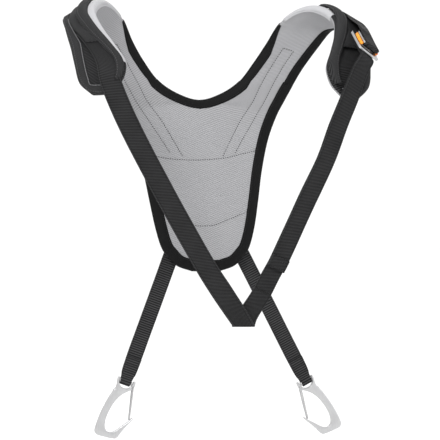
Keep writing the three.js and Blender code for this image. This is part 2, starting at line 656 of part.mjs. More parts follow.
function rearStraps() {
  for (const [name, side] of [['left', -1], ['right', 1]]) {
    const rear = REAR[name];
    const length = vec(rear.hinge).distanceTo(vec(rear.pin));
    const stations = LOOP_PATH.map(([b, c, half]) => [
      inFrame(rear, 0, b, c).toArray(), rear.across.clone().multiplyScalar(half).toArray(),
    ]);
    stations.unshift([inFrame(rear, 0, -length, 0).toArray(),
      rear.across.clone().multiplyScalar(REAR_HALF).toArray()]);
    addStrap(`${name}_rear_strap`, stations, REAR_WEB, 2);
    const body = new THREE.ExtrudeGeometry(outline(CARABINER), { depth: 2 * BODY_HALF, bevelEnabled: false });
    body.translate(0, 0, -BODY_HALF);
    addMesh(`${name}_carabiner`, framedGeometry(body, rear, side), METAL, 0.35, 1);
    const pin = new THREE.CylinderGeometry(PIN_RADIUS, PIN_RADIUS, 15.6, 12).rotateZ(Math.PI / 2);
    pin.translate(-0.7, 0, 0);
    addMesh(`${name}_eye_pin`, framedGeometry(pin, rear, side), METAL, 0.35, 1);
    addMesh(`${name}_wire_gate`, framedGeometry(wireGate(), rear, side), METAL, 0.3, 1);
  }
}

foam();
yokeFabric('yoke_lining', NECK_BAND, -OUTER_FACE, -FOAM_HALF - SKIN_GAP, LINING);
yokeFabric('outer_fabric', [[NECK_ROW, BAND], [11.5, BAND], ...FACING_WIDTH], FOAM_HALF + SKIN_GAP,
  OUTER_FACE, BLACK);
bindings();
facings();
frontPads();
shoulderWebbing();
chestStrap();
buckleParts();
buckleStraps();
backOfPanel();
rearStraps();

export default harness;
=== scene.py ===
"""Padded shoulder harness: quilted yoke, webbing, quick-release buckle and wire-gate carabiners."""
import math

import bmesh
import bpy
import numpy as np
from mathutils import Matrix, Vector
from mathutils.bvhtree import BVHTree


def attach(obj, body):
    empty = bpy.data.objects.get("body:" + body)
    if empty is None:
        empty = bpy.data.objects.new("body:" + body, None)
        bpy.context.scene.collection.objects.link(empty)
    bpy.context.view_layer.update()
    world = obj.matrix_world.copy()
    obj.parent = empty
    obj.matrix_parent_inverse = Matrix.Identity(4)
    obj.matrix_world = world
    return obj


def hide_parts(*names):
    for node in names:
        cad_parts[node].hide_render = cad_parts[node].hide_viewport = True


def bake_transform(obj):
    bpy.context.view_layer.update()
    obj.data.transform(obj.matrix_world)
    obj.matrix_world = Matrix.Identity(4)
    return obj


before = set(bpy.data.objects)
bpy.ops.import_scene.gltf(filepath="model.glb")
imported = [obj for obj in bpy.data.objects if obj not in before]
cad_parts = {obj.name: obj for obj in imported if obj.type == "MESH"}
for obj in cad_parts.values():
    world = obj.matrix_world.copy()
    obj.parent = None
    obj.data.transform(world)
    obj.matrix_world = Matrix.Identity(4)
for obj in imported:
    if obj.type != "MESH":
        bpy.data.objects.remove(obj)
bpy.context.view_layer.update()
MM = 0.001

# ---------------------------------------------------------------- dimensions, in millimetres
WEB = 1.6                       # thickness of the 25 mm webbing
WEB_HALF = 12.5
REAR_WEB = 1.8                  # thickness of the 20 mm webbing
REAR_HALF = 10
SEAM_GAP = 0.3                  # between pieces that touch
OUTER_FACE = 7.2                # from the yoke's middle surface to its outside
STRAP_LEVEL = OUTER_FACE + SEAM_GAP
PAD_HALF = 5.9                  # half the pad's thickness before it swells
RIM_REACH = 8.5                 # how far in from its edge the pad thins
RIM_BULGE = 1.4                 # roundness of the pad's edge
SEAM_HALF = 2.2                 # half the width that a sewn line holds down
NECK_ROW = 8                    # rows run from the hem up the panel and down the arms
ARM_ROW = 10
LAST_ROW = 22
HEM_ROW = -1
BINDING_END = 13                # the row where the neck binding gives way to the facings
ARM_BINDING_END = 14
# Reach of the bindings and facings from the edge, as (row, millimetres).
ARM_BAND = [(0, 12), (12, 12), (14, 9), (16, 6), (LAST_ROW, 6)]
NECK_BAND = [(NECK_ROW, 12), (11.5, 12), (BINDING_END, 2), (LAST_ROW, 2)]
FACING_WIDTH = [(BINDING_END, 2), (15, 13), (17, 13), (20, 2), (LAST_ROW, 2)]
FACING_END = {"left": 20, "right": 16.6}
# Start and width of the neck wing, as (row, millimetres from the neck edge).
WING_START = {"left": [(r, w * 0.55) for r, w in FACING_WIDTH],
              "right": [(15, 7), (16.5, -1.2), (LAST_ROW, -1.2)]}
WING_WIDTH = {"left": [(15, 13), (17, 16), (18.5, 17), (19.5, 12.5), (21, 6)],
              "right": [(15, 12), (18.5, 14), (20, 12), (21, 8)]}

CENTRE_LINE = [
    (0, -48.8, -328), (0, -48.4, -324), (0, -47.2, -314), (0, -45.6, -300), (0, -42, -272),
    (0, -36, -240), (0, -27, -200), (0, -15, -160), (0, -2, -112),
]
NECK_EDGE = [
    (0, -2, -112), (30, -1, -103), (55, -1, -86), (75, -3, -60), (90, -10, -36),
    (103, -24, -12), (118, -44, 1), (133, -66, 4), (145, -90, -4), (150, -113, -18),
    (144, -136, -39), (132, -160, -62), (122.5, -177, -82), (127, -182, -102), (142, -182, -118),
]
ARMHOLE_EDGE = [
    (18, -48.8, -327.5), (36, -48.1, -321), (48, -46.8, -309), (55.5, -46, -297), (62.5, -43, -272),
    (68.5, -37, -240), (75.5, -28, -201), (86, -18, -161), (99, -10, -130), (110, -8, -110),
    (121, -6.5, -91), (134, -10, -68), (151, -22, -42), (167, -38, -19), (176, -57, -17),
    (182, -78, -21), (184.5, -98, -28), (185, -117, -37), (184, -134, -49), (181.5, -150, -66),
    (178.5, -162, -87), (174, -170, -106), (160.5, -176, -119),
]

# Sewn lines of the lining, as [x, z] on its face.
CROSS_SEAM = [(-67, -183.2), (-49.5, -186.3), (-32.7, -188.1), (-4.2, -188.5), (28.5, -185.7),
              (48.4, -181), (70, -176)]
LOWER_SEAM = [(-52, -255), (-36, -264), (-20.6, -270.8), (-6.5, -272.6), (11.6, -271.3),
              (31.2, -263.7), (54, -255)]
CHANNEL_LINES = [
    [(109, -42), (91.1, -71.5), (79.4, -92.4), (69, -112.8), (52, -137), (38, -162), (26, -184)],
    [(122, -46), (108, -68.7), (95.1, -92.2), (84, -112.7), (67, -139.7), (53, -162), (41, -182)],
]
CHANNEL_TOP = [(109, -42), (122, -46)]


def unit(v):
    return v / max(np.linalg.norm(v), 1e-9)


def arr(*v):
    return np.array(v, float)


def spline(points):
    """Cardinal spline through the points; call it with a share of its length from 0 to 1."""
    pts = np.array(points, float)
    ext = np.vstack([2 * pts[0] - pts[1], pts, 2 * pts[-1] - pts[-2]])
    spans = len(pts) - 1

    def at(t):
        p = min(max(t, 0.0), 1.0) * spans
        i = min(int(p), spans - 1)
        w = p - i
        a, b, c, d = ext[i:i + 4]
        m, n = (c - a) * 0.5, (d - b) * 0.5
        return b + m * w + (3 * (c - b) - 2 * m - n) * w * w + (2 * (b - c) + m + n) * w ** 3
    return at


def profile(pairs, x):
    return float(np.interp(x, [p[0] for p in pairs], [p[1] for p in pairs]))


centre_line = spline(CENTRE_LINE)
neck_edge = spline([(-NECK_EDGE[1][0],) + NECK_EDGE[1][1:]] + NECK_EDGE)
armhole_edge = spline(ARMHOLE_EDGE)


# ---------------------------------------------------------------- the yoke's middle surface
def inner_point(row):
    if row <= NECK_ROW:
        return centre_line(row / NECK_ROW)
    return neck_edge((row - NECK_ROW + 1) / len(NECK_EDGE))


def outer_point(row):
    return armhole_edge(row / LAST_ROW)


def hem_point(row):
    if row >= 0:
        return outer_point(row)
    a, b = inner_point(0), outer_point(0)
    return a + (b - a) * (row - HEM_ROW)


def middle(row, across):
    a, b = inner_point(row), outer_point(row)
    return a + (b - a) * across


def normal(row, across):
    d = 0.05
    ahead = min(row + d, NECK_ROW if row <= NECK_ROW else LAST_ROW)
    along = middle(ahead, across) - middle(max(row - d, 0), across)
    away = np.cross(along, outer_point(row) - inner_point(row))
    if row <= NECK_ROW and across == 0:
        away[0] = 0
    return unit(away)


def width_at(row):
    return float(np.linalg.norm(outer_point(row) - inner_point(row)))


def yoke_point(row, across, height):
    return middle(row, across) + normal(row, across) * height


def into_fabric(edge, row, across, low, high):
    """Unit vector in the surface from an edge into the fabric."""
    if row >= ARM_ROW:
        return unit(outer_point(row) - inner_point(row)) * (-1 if across > 0.5 else 1)
    d = 0.1
    along = edge(min(row + d, high)) - edge(max(row - d, low))
    into = unit(np.cross(along, normal(max(row, 0), across)))
    if row == low:
        into[0] = 0
        into = unit(into)
    return into * (-1 if edge is inner_point else 1)


# ---------------------------------------------------------------- meshes
def make_mesh(name, verts, faces, materials, uvs=None, face_slots=None):
    """A smooth-shaded object from vertices in millimetres. uvs holds one (u, v) for each vertex."""
    mesh = bpy.data.meshes.new(name)
    mesh.from_pydata((np.array(verts, float) * MM).tolist(), [], [list(f) for f in faces])
    mesh.update()
    if uvs is not None:
        layer = mesh.uv_layers.new(name="fabric")
        flat = np.array(uvs, float) * MM
        index = np.zeros(len(mesh.loops), int)
        mesh.loops.foreach_get("vertex_index", index)
        layer.data.foreach_set("uv", flat[index].ravel())
    for m in materials:
        mesh.materials.append(m)
    if face_slots is not None:
        mesh.polygons.foreach_set("material_index", np.array(face_slots, int))
    mesh.polygons.foreach_set("use_smooth", [True] * len(mesh.polygons))
    obj = bpy.data.objects.new(name, mesh)
    bpy.context.collection.objects.link(obj)
    return obj


def tidy(obj, weld=0.0):
    """Welds vertices closer than weld millimetres and turns the faces outward."""
    bm = bmesh.new()
    bm.from_mesh(obj.data)
    if weld:
        bmesh.ops.remove_doubles(bm, verts=bm.verts, dist=weld * MM)
    bmesh.ops.recalc_face_normals(bm, faces=bm.faces)
    bm.to_mesh(obj.data)
    bm.free()
    obj.data.update()


def subdivide(obj):
    obj.modifiers.new("subdivision", "SUBSURF").levels = 1
    graph = bpy.context.evaluated_depsgraph_get()
    smooth = bpy.data.meshes.new_from_object(obj.evaluated_get(graph))
    obj.modifiers.clear()
    obj.data = smooth
    smooth.polygons.foreach_set("use_smooth", [True] * len(smooth.polygons))


def loft(name, rings, uvs, material, body, nodes=()):
    """A closed solid through rings of points; both ends are capped."""
    n = len(rings[0])
    verts = [p for ring in rings for p in ring]
    faces = []
    for i in range(len(rings) - 1):
        for j in range(n):
            k = (j + 1) % n
            faces.append((i * n + j, i * n + k, (i + 1) * n + k, (i + 1) * n + j))
    last = (len(rings) - 1) * n
    half = n // 2
    for start in (0, last):
        for j in range(half - 1):
            faces.append((start + j, start + j + 1, start + n - 2 - j, start + n - 1 - j))
    obj = make_mesh(name, verts, faces, [material], [uv for ring in uvs for uv in ring])
    tidy(obj, 0.001)
    return place(obj, body, nodes)


def tube(name, path, radii, mat, body, nodes=(), sides=16):
    """A round rod along a path with a radius at each point, with parallel-carried sections."""
    path = [np.array(p, float) for p in path]
    rings, side = [], None
    for i, p in enumerate(path):
        d = unit(path[min(i + 1, len(path) - 1)] - path[max(i - 1, 0)])
        if side is None:
            side = unit(np.cross(d, arr(0.3, 0.9, 0.31)))
        side = unit(side - d * side.dot(d))
        other = np.cross(d, side)
        r = radii[i] if hasattr(radii, "__len__") else radii
        rings.append([p + (side * math.cos(t) + other * math.sin(t)) * r
                      for t in np.linspace(0, 2 * math.pi, sides, endpoint=False)])
    uvs = [[(0, i)] * sides for i in range(len(rings))]
    return loft(name, rings, uvs, mat, body, nodes)


def place(obj, body, nodes=()):
    """Puts a piece on its body. A body given as (a, b, start, end) only bakes the piece's transform in place;
    nothing bends the piece or attaches it.
    """
    if isinstance(body, str):
        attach(obj, body)
    else:
        a, b, start, end = body
        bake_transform(obj)
    if nodes:
        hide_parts(*nodes)
    return obj


# ---------------------------------------------------------------- materials
def material(name, base, roughness, metallic=0.0, coat=0.0, specular=0.5):
    m = bpy.data.materials.new(name)
    m.use_nodes = True
    shader = m.node_tree.nodes["Principled BSDF"]
    shader.inputs["Base Color"].default_value = (*base, 1)
    shader.inputs["Roughness"].default_value = roughness
    shader.inputs["Metallic"].default_value = metallic
    shader.inputs["Coat Weight"].default_value = coat
    shader.inputs["Specular IOR Level"].default_value = specular
    return m


class Nodes:
    """Small helper that adds and links nodes in one material."""

    def __init__(self, mat):
        self.tree = mat.node_tree
        self.shader = self.tree.nodes["Principled BSDF"]

    def add(self, kind, **settings):
        node = self.tree.nodes.new(kind)
        for key, value in settings.items():
            setattr(node, key, value)
        return node

    def link(self, a, b):
        self.tree.links.new(a, b)

    def value(self, operation, a, b=None):
        node = self.add("ShaderNodeMath", operation=operation)
        for socket, x in zip(node.inputs, (a, b)):
            if x is None:
                continue
            if isinstance(x, (int, float)):
                socket.default_value = x
            else:
                self.link(x, socket)
        return node.outputs[0]

    def coordinate(self, kind):
        return self.add("ShaderNodeTexCoord").outputs[kind]

    def dot(self, vector, axis):
        node = self.add("ShaderNodeVectorMath", operation="DOT_PRODUCT")
        self.link(vector, node.inputs[0])
        node.inputs[1].default_value = axis
        return node.outputs["Value"]

    def waves(self, phase, pitch):
        """0 to 1 and back once every pitch millimetres of the phase, which is in metres."""
        turns = self.value("MULTIPLY", phase, 2 * math.pi / (pitch * MM))
        return self.value("ADD", self.value("MULTIPLY", self.value("SINE", turns), 0.5), 0.5)

    def noise(self, vector, scale, detail=3.0):
        node = self.add("ShaderNodeTexNoise")
        node.inputs["Scale"].default_value = scale
        node.inputs["Detail"].default_value = detail
        self.link(vector, node.inputs["Vector"])
        return node.outputs["Fac"]

    def colours(self, factor, *stops):
        ramp = self.add("ShaderNodeValToRGB")
        elements = ramp.color_ramp.elements
        while len(elements) < len(stops):
            elements.new(0.5)
        for element, (position, colour) in zip(elements, stops):
            element.position = position
            element.color = (*colour, 1)
        self.link(factor, ramp.inputs["Fac"])
        return ramp.outputs["Color"]

    def range(self, factor, low, high):
        node = self.add("ShaderNodeMapRange")
        node.inputs["To Min"].default_value = low
        node.inputs["To Max"].default_value = high
        self.link(factor, node.inputs["Value"])
        return node.outputs["Result"]

    def bump(self, height, distance, strength=1.0):
        node = self.add("ShaderNodeBump")
        node.inputs["Distance"].default_value = distance * MM
        node.inputs["Strength"].default_value = strength
        self.link(height, node.inputs["Height"])
        self.link(node.outputs["Normal"], self.shader.inputs["Normal"])


def grey(v, tint=(1, 1, 1.03)):
    return tuple(v * t for t in tint)


def rib_fabric(name, dark, light, axis, pitch, roughness, depth=0.25, specular=0.07):
    """A cloth with ribs square to axis, a finer cross thread and cloudy wear."""
    m = material(name, grey((dark + light) / 2), roughness, specular=specular)
    n = Nodes(m)
    point = n.coordinate("UV")
    wander = n.value("MULTIPLY", n.noise(point, 60, 1), 0.6 * pitch * MM)
    ribs = n.waves(n.value("ADD", n.dot(point, axis), wander), pitch)
    threads = n.waves(n.dot(point, (axis[1], -axis[0], 0)), pitch * 0.42)
    cloud = n.noise(point, 18, 3)
    weave = n.value("ADD", n.value("MULTIPLY", ribs, 0.62), n.value("MULTIPLY", threads, 0.2))
    shade = n.value("ADD", weave, n.value("MULTIPLY", cloud, 0.18))
    n.link(n.colours(shade, (0.15, grey(dark)), (0.85, grey(light))), n.shader.inputs["Base Color"])
    n.link(n.range(cloud, roughness - 0.08, roughness + 0.08), n.shader.inputs["Roughness"])
    n.bump(n.value("ADD", ribs, n.value("MULTIPLY", threads, 0.5)), depth)
    return m


def webbing_fabric(name, dark, light, half, pitch, twill):
    """Woven webbing: ribs across it, twill between them, a band along each edge painted lighter as a painted
    highlight, and a groove near each edge, pressed into the bump and painted darker as painted shade.
    """
    m = material(name, grey((dark + light) / 2), 0.65, specular=0.06)
    n = Nodes(m)
    uv = n.coordinate("UV")
    u = n.dot(uv, (1, 0, 0))
    v = n.dot(uv, (0, 1, 0))
    ribs = n.waves(n.value("ADD", v, n.value("MULTIPLY", u, twill)), pitch)
    ends = n.waves(u, 1.15)
    side = n.value("DIVIDE", n.value("ABSOLUTE", u), half * MM)
    # painted highlight: the band along each edge of the webbing is painted lighter in colour
    painted_edge_highlight = n.value("GREATER_THAN", side, 0.86)
    # a line near each edge: pressed in as a groove through the bump, and darkened in colour as painted shade
    groove = n.value("LESS_THAN", n.value("ABSOLUTE", n.value("SUBTRACT", side, 0.84)), 0.025)
    cloud = n.noise(n.coordinate("Object"), 35, 3)
    weave = n.value("MULTIPLY", ribs, n.value("ADD", n.value("MULTIPLY", ends, 0.5), 0.5))
    # painted shade: the groove line is made darker in colour, and the same value deepens the bump
    weave = n.value("SUBTRACT", weave, n.value("MULTIPLY", groove, 0.4))
    shade = n.value("ADD", n.value("MULTIPLY", weave, 0.7), n.value("MULTIPLY", cloud, 0.22))
    # adds the painted highlight to the edge band's colour
    shade = n.value("ADD", shade, n.value("MULTIPLY", painted_edge_highlight, 0.1))
    n.link(n.colours(shade, (0.05, grey(dark)), (0.95, grey(light))), n.shader.inputs["Base Color"])
    n.link(n.range(cloud, 0.5, 0.72), n.shader.inputs["Roughness"])
    n.bump(weave, 0.3)
    return m


def brushed_metal(name, base, roughness, axis):
    m = material(name, grey(base, (1, 1, 1.01)), roughness, metallic=1.0)
    n = Nodes(m)
    point = n.coordinate("Object")
    node = n.add("ShaderNodeMapping")
    node.inputs["Scale"].default_value = axis
    n.link(point, node.inputs["Vector"])
    grain = n.noise(node.outputs["Vector"], 900, 4)
    cloud = n.noise(point, 70, 4)
    both = n.value("ADD", n.value("MULTIPLY", grain, 0.6), n.value("MULTIPLY", cloud, 0.4))
    n.link(n.colours(both, (0.3, grey(base * 0.86, (1, 1, 1.01))), (0.7, grey(base, (1, 1, 1.01)))),
           n.shader.inputs["Base Color"])
    n.link(n.range(both, roughness - 0.1, roughness + 0.1), n.shader.inputs["Roughness"])
    n.bump(grain, 0.012)
    return m


def anodised(name):
    m = material(name, (0.95, 0.3, 0.01), 0.35, metallic=0.35, coat=0.4)
    n = Nodes(m)
    point = n.coordinate("Object")
    cloud = n.noise(point, 120, 3)
    speck = n.noise(point, 900, 2)
    orange = n.colours(
        cloud, (0.32, (0.62, 0.07, 0.004)), (0.46, (0.98, 0.3, 0.01)), (0.7, (1.0, 0.52, 0.03)))
    n.link(orange, n.shader.inputs["Base Color"])
    n.link(n.range(speck, 0.28, 0.42), n.shader.inputs["Roughness"])
    n.bump(speck, 0.01)
    return m


def thread(name, value):
    m = material(name, grey(value), 0.55, specular=0.3)
    n = Nodes(m)
    twist = n.waves(n.dot(n.coordinate("Object"), (0.7, 0.2, 0.7)), 0.5)
    n.link(n.colours(twist, (0, grey(value * 0.7)), (1, grey(value * 1.3))), n.shader.inputs["Base Color"])
    n.link(n.range(twist, 0.45, 0.65), n.shader.inputs["Roughness"])
    n.bump(twist, 0.05)
    return m


LINING = rib_fabric("lining_cloth", 0.24, 0.38, (-0.38, 0.92, 0), 2.3, 0.85, depth=0.25)
OUTER = rib_fabric("outer_cloth", 0.003, 0.05, (0.25, 0.97, 0), 1.9, 0.8, depth=0.4)
BINDING = rib_fabric("binding_tape", 0.002, 0.01, (0.2, 0.98, 0), 0.9, 0.5, depth=0.06, specular=0.08)
WING = rib_fabric("wing_cloth", 0.006, 0.05, (0.97, 0.2, 0), 1.3, 0.7, depth=0.2)
FACING = rib_fabric("facing_cloth", 0.4, 0.52, (0.2, 0.98, 0), 1.4, 0.8, depth=0.12)
PIPING = rib_fabric("piping_cord", 0.1, 0.2, (0.2, 0.98, 0), 1.0, 0.6, depth=0.1)
CHEST = webbing_fabric("chest_webbing", 0.001, 0.055, WEB_HALF, 2.0, 0.5)
REAR = webbing_fabric("rear_webbing", 0.001, 0.075, REAR_HALF, 2.9, 0.0)
ALUMINIUM = brushed_metal("carabiner_aluminium", 0.52, 0.34, (1, 1, 0.08))
STEEL = brushed_metal("buckle_steel", 0.5, 0.3, (0.1, 1, 1))
WIRE = brushed_metal("gate_wire", 0.45, 0.24, (1, 1, 1))
LEVER = anodised("lever_finish")
BLACK_THREAD = thread("black_thread", 0.008)
GREY_THREAD = thread("grey_thread", 0.09)


# ---------------------------------------------------------------- padded yoke
def rim_half(row):
    """Half the yoke's thickness at its edge."""
    return 3.0 if row < 13 else min(4.6, 3.0 + (row - 13) * 0.8)


def yoke_grid():
    """The middle surface as one welded grid: points, normals, rows, flat cloth coordinates and faces."""
    rows = np.arange(0, LAST_ROW + 1e-6, 0.125)
    shares = np.linspace(0, 1, 21)
    spine = np.array([middle(r, 0.5) for r in rows])
    lengths = np.concatenate([[0], np.cumsum(np.linalg.norm(np.diff(spine, axis=0), axis=1))])
    points, normals, row_of, cloth, faces, seen, index = [], [], [], [], [], {}, {}
    for side in (1, -1):
        for i, row in enumerate(rows):
            for j, s in enumerate(shares):
                p, n = middle(row, s), normal(row, s)
                p, n = p * (side, 1, 1), n * (side, 1, 1)
                key = tuple(np.round(p, 2))
                if abs(p[0]) < 0.01 and key in seen:
                    index[side, i, j] = seen[key]
                    continue
                seen[key] = index[side, i, j] = len(points)
                points.append(p)
                normals.append(n)
                row_of.append(row)
                cloth.append((side * s * width_at(row), lengths[i]))
        for i in range(len(rows) - 1):
            for j in range(len(shares) - 1):
                quad = [index[side, i, j], index[side, i + 1, j], index[side, i + 1, j + 1],
                        index[side, i, j + 1]]
                faces.append(quad if side > 0 else quad[::-1])
    return np.array(points), np.array(normals), np.array(row_of), np.array(cloth), faces


def on_lining(line, side=1):
    """Points of a sewn line, dropped on to the middle surface from in front."""
    path = spline([(x, 0, z) for x, z in line])
    out = []
    for t in np.linspace(0, 1, 90):
        x, _, z = path(t)
        hit = YOKE_MIDDLE.ray_cast(Vector((x * side, -400, z)), Vector((0, 1, 0)))[0]
        if hit is not None:
            out.append(np.array(hit))
    return out


def nearest(spots, cloud):
    """For every spot, how far its nearest point of the cloud is."""
    out = np.full(len(spots), 1e9)
    for k in range(0, len(cloud), 60):
        d = np.linalg.norm(spots[:, None] - cloud[None, k:k + 60], axis=2).min(1)
        out = np.minimum(out, d)
    return out


def cloth_swell(obj, pins, pressure, cap):
    """Inflates a closed pad between its pinned stitching and limits how far each point moves."""
    group = obj.vertex_groups.new(name="sewn")
    group.add([int(i) for i in np.nonzero(pins)[0]], 1.0, "REPLACE")
    rest = np.array([v.co for v in obj.data.vertices], float)
    cloth = obj.modifiers.new("cloth", "CLOTH")
    cloth.settings.vertex_group_mass = "sewn"
    cloth.settings.use_pressure = True
    cloth.settings.uniform_pressure_force = pressure
    cloth.settings.effector_weights.gravity = 0
    cloth.settings.quality = 6
    cloth.settings.tension_stiffness = 20
    cloth.settings.compression_stiffness = 20
    cloth.settings.bending_stiffness = 0.4
    scene = bpy.context.scene
    for f in range(1, 21):
        scene.frame_set(f)
    graph = bpy.context.evaluated_depsgraph_get()
    moved = np.array([v.co for v in obj.evaluated_get(graph).data.vertices], float)
    obj.modifiers.clear()
    scene.frame_set(1)
    step = moved - rest
    size = np.linalg.norm(step, axis=1, keepdims=True)
    limit = cap * MM
    step *= np.where(size > 1e-9, limit * np.tanh(size / limit) / np.maximum(size, 1e-9), 0)
    obj.data.vertices.foreach_set("co", (rest + step).ravel())
    obj.data.update()


points, normals, row_of, flat, grid_faces = yoke_grid()
YOKE_MIDDLE = BVHTree.FromPolygons([Vector(p) for p in points], grid_faces)
edges = {}
for f in grid_faces:
    for a, b in zip(f, f[1:] + f[:1]):
        edges[frozenset((a, b))] = edges.get(frozenset((a, b)), 0) + 1
boundary = [tuple(e) for e, count in edges.items() if count == 1]
rim = np.array(sorted({v for e in boundary for v in e}))

seams = [on_lining(CROSS_SEAM), on_lining(LOWER_SEAM)]
for side in (1, -1):
    seams += [on_lining(line, side) for line in CHANNEL_LINES + [CHANNEL_TOP]]
seam_cloud = np.vstack(seams)


def pad_blank():
    """The pad before it swells: the middle surface thickened, with a rounded rim."""
    count = len(points)
    edge_distance = nearest(points, points[rim])
    rims = np.array([rim_half(r) for r in row_of])
    half = PAD_HALF - (PAD_HALF - rims) * np.exp(-(edge_distance / RIM_REACH) ** 2)
    rim_set = set(rim.tolist())
    centres = {}
    for f in grid_faces:
        for v in rim_set.intersection(f):
            centres.setdefault(v, []).append(points[f].mean(0))
    rim_index, rim_points = {}, []
    for v in rim:
        out = points[v] - np.mean(centres[v], axis=0)
        out -= normals[v] * out.dot(normals[v])
        rim_index[v] = 2 * count + len(rim_points)
        rim_points.append(points[v] + unit(out) * RIM_BULGE)
    verts = np.vstack([points - normals * half[:, None], points + normals * half[:, None], rim_points])
    faces, slots = [], []
    for f in grid_faces:
        faces += [f[::-1], [v + count for v in f]]
        slots += [0, 1]
    for a, b in boundary:
        faces += [[a, b, rim_index[b], rim_index[a]],
                  [rim_index[a], rim_index[b], b + count, a + count]]
        slots += [0, 1]
    obj = make_mesh("yoke_pad", verts, faces, [LINING, OUTER], np.vstack([flat, flat, flat[rim]]), slots)
    tidy(obj)
    band = np.array([profile(ARM_BAND, r) if r < ARM_BINDING_END else 3.0 for r in row_of])
    pinned = (edge_distance < band - 1) | (nearest(points, seam_cloud) < SEAM_HALF)
    return obj, np.concatenate([pinned, pinned, np.ones(len(rim_points), bool)])


def press_seams(obj):
    """Sewn lines press a groove into the lining, and the cloth ripples a little."""
    co = np.array([v.co for v in obj.data.vertices], float) / MM
    nor = np.array([v.normal for v in obj.data.vertices], float)
    d = nearest(co, seam_cloud)
    aside = np.maximum(d ** 2 - 34, 0)
    groove = 1.1 * np.exp(-np.maximum(d - 5.6, 0) ** 2 - aside / 4)
    ripple = 0.12 * np.sin(co[:, 0] * 0.21 + co[:, 2] * 0.13) * np.sin(co[:, 2] * 0.33 - co[:, 1] * 0.2)
    co += nor * (ripple - groove)[:, None]
    obj.data.vertices.foreach_set("co", (co * MM).ravel())
    obj.data.update()


def yoke_pad():
    obj, pins = pad_blank()
    cloth_swell(obj, pins, 4.0, 1.9)
    subdivide(obj)
    press_seams(obj)
    place(obj, "harness", ("panel_foam", "left_arm_foam", "right_arm_foam", "yoke_lining", "outer_fabric"))
    return obj


YOKE = yoke_pad()
YOKE_SKIN = BVHTree.FromPolygons([v.co / MM for v in YOKE.data.vertices],
                                 [list(p.vertices) for p in YOKE.data.polygons])


def skin_point(q, up, face):
    """The pad's face over a point of the middle surface: face is 1 outside and -1 on the lining."""
    hit, n, _, _ = YOKE_SKIN.ray_cast(Vector(q + up * face * 25), Vector(-up * face), 25)
    if hit is None:
        return q + up * face * 4.5, up * face
    return np.array(hit), np.array(n)


# ---------------------------------------------------------------- stitching
class Stitching:
    """Collects sewn stitches as one mesh for each body and thread."""

    def __init__(self):
        self.sets = {}

    def row(self, key, path, ups, pitch=3.0, length=2.1, radius=0.32):
        """Stitches along a path of points, raised on the given normals."""
        path, ups = np.array(path), np.array(ups)
        seg = np.linalg.norm(np.diff(path, axis=0), axis=1)
        s = np.concatenate([[0], np.cumsum(seg)])
        store = self.sets.setdefault(key[0], (key, [], []))
        for k in range(int(s[-1] / pitch)):
            a, b = k * pitch + 0.4, k * pitch + 0.4 + length
            if b > s[-1]:
                break
            p = [arr(*[np.interp(x, s, path[:, c]) for c in range(3)]) for x in (a, (a + b) / 2, b)]
            u = unit(arr(*[np.interp((a + b) / 2, s, ups[:, c]) for c in range(3)]))
            self.one(store, p, u, radius)

    def one(self, store, p, up, radius):
        _, verts, faces = store
        along = unit(p[2] - p[0])
        side = unit(np.cross(along, up))
        rings = [(p[0], 0.35, -0.3), (p[0] * 0.75 + p[2] * 0.25, 0.9, 0.05), (p[1], 1.0, 0.14),
                 (p[0] * 0.25 + p[2] * 0.75, 0.9, 0.05), (p[2], 0.35, -0.3)]
        start = len(verts)
        for c, r, lift in rings:
            for k in range(6):
                t = k * math.pi / 3
                verts.append(c + up * (lift + radius * r * math.sin(t)) + side * radius * r * math.cos(t))
        for i in range(4):
            for k in range(6):
                m = (k + 1) % 6
                a = start + i * 6
                faces.append((a + k, a + m, a + 6 + m, a + 6 + k))
        faces.append(tuple(start + k for k in range(5, -1, -1)))
        faces.append(tuple(start + 24 + k for k in range(6)))

    def finish(self):
        for (name, body, mat), verts, faces in self.sets.values():
            place(make_mesh(name, verts, faces, [mat]), body)


SEWN = Stitching()
LINING_STITCH = ("lining_stitches", "harness", BLACK_THREAD)
TRIM_STITCH = ("trim_stitches", "harness", GREY_THREAD)
WEB_STITCH = ("webbing_stitches", "harness", BLACK_THREAD)

for line in seams:
    on_face = [skin_point(p, arr(0, 1, 0), -1) for p in line]
    SEWN.row(LINING_STITCH, [q for q, _ in on_face], [n for _, n in on_face], radius=0.5)


# ---------------------------------------------------------------- bindings and facings
def edge_station(edge, row, across, low, high, side):
    up = normal(max(row, 0), across)
    into = into_fabric(edge, row, across, low, high)
    flip = arr(side, 1, 1)
    return edge(row) * flip, into * flip, up * flip


TAPE_SHARES = (1.0, 0.93, 0.7, 0.45, 0.2, 0.04)     # columns of a tape's lip, from its free edge in
STITCHED_SHARE = 0.93


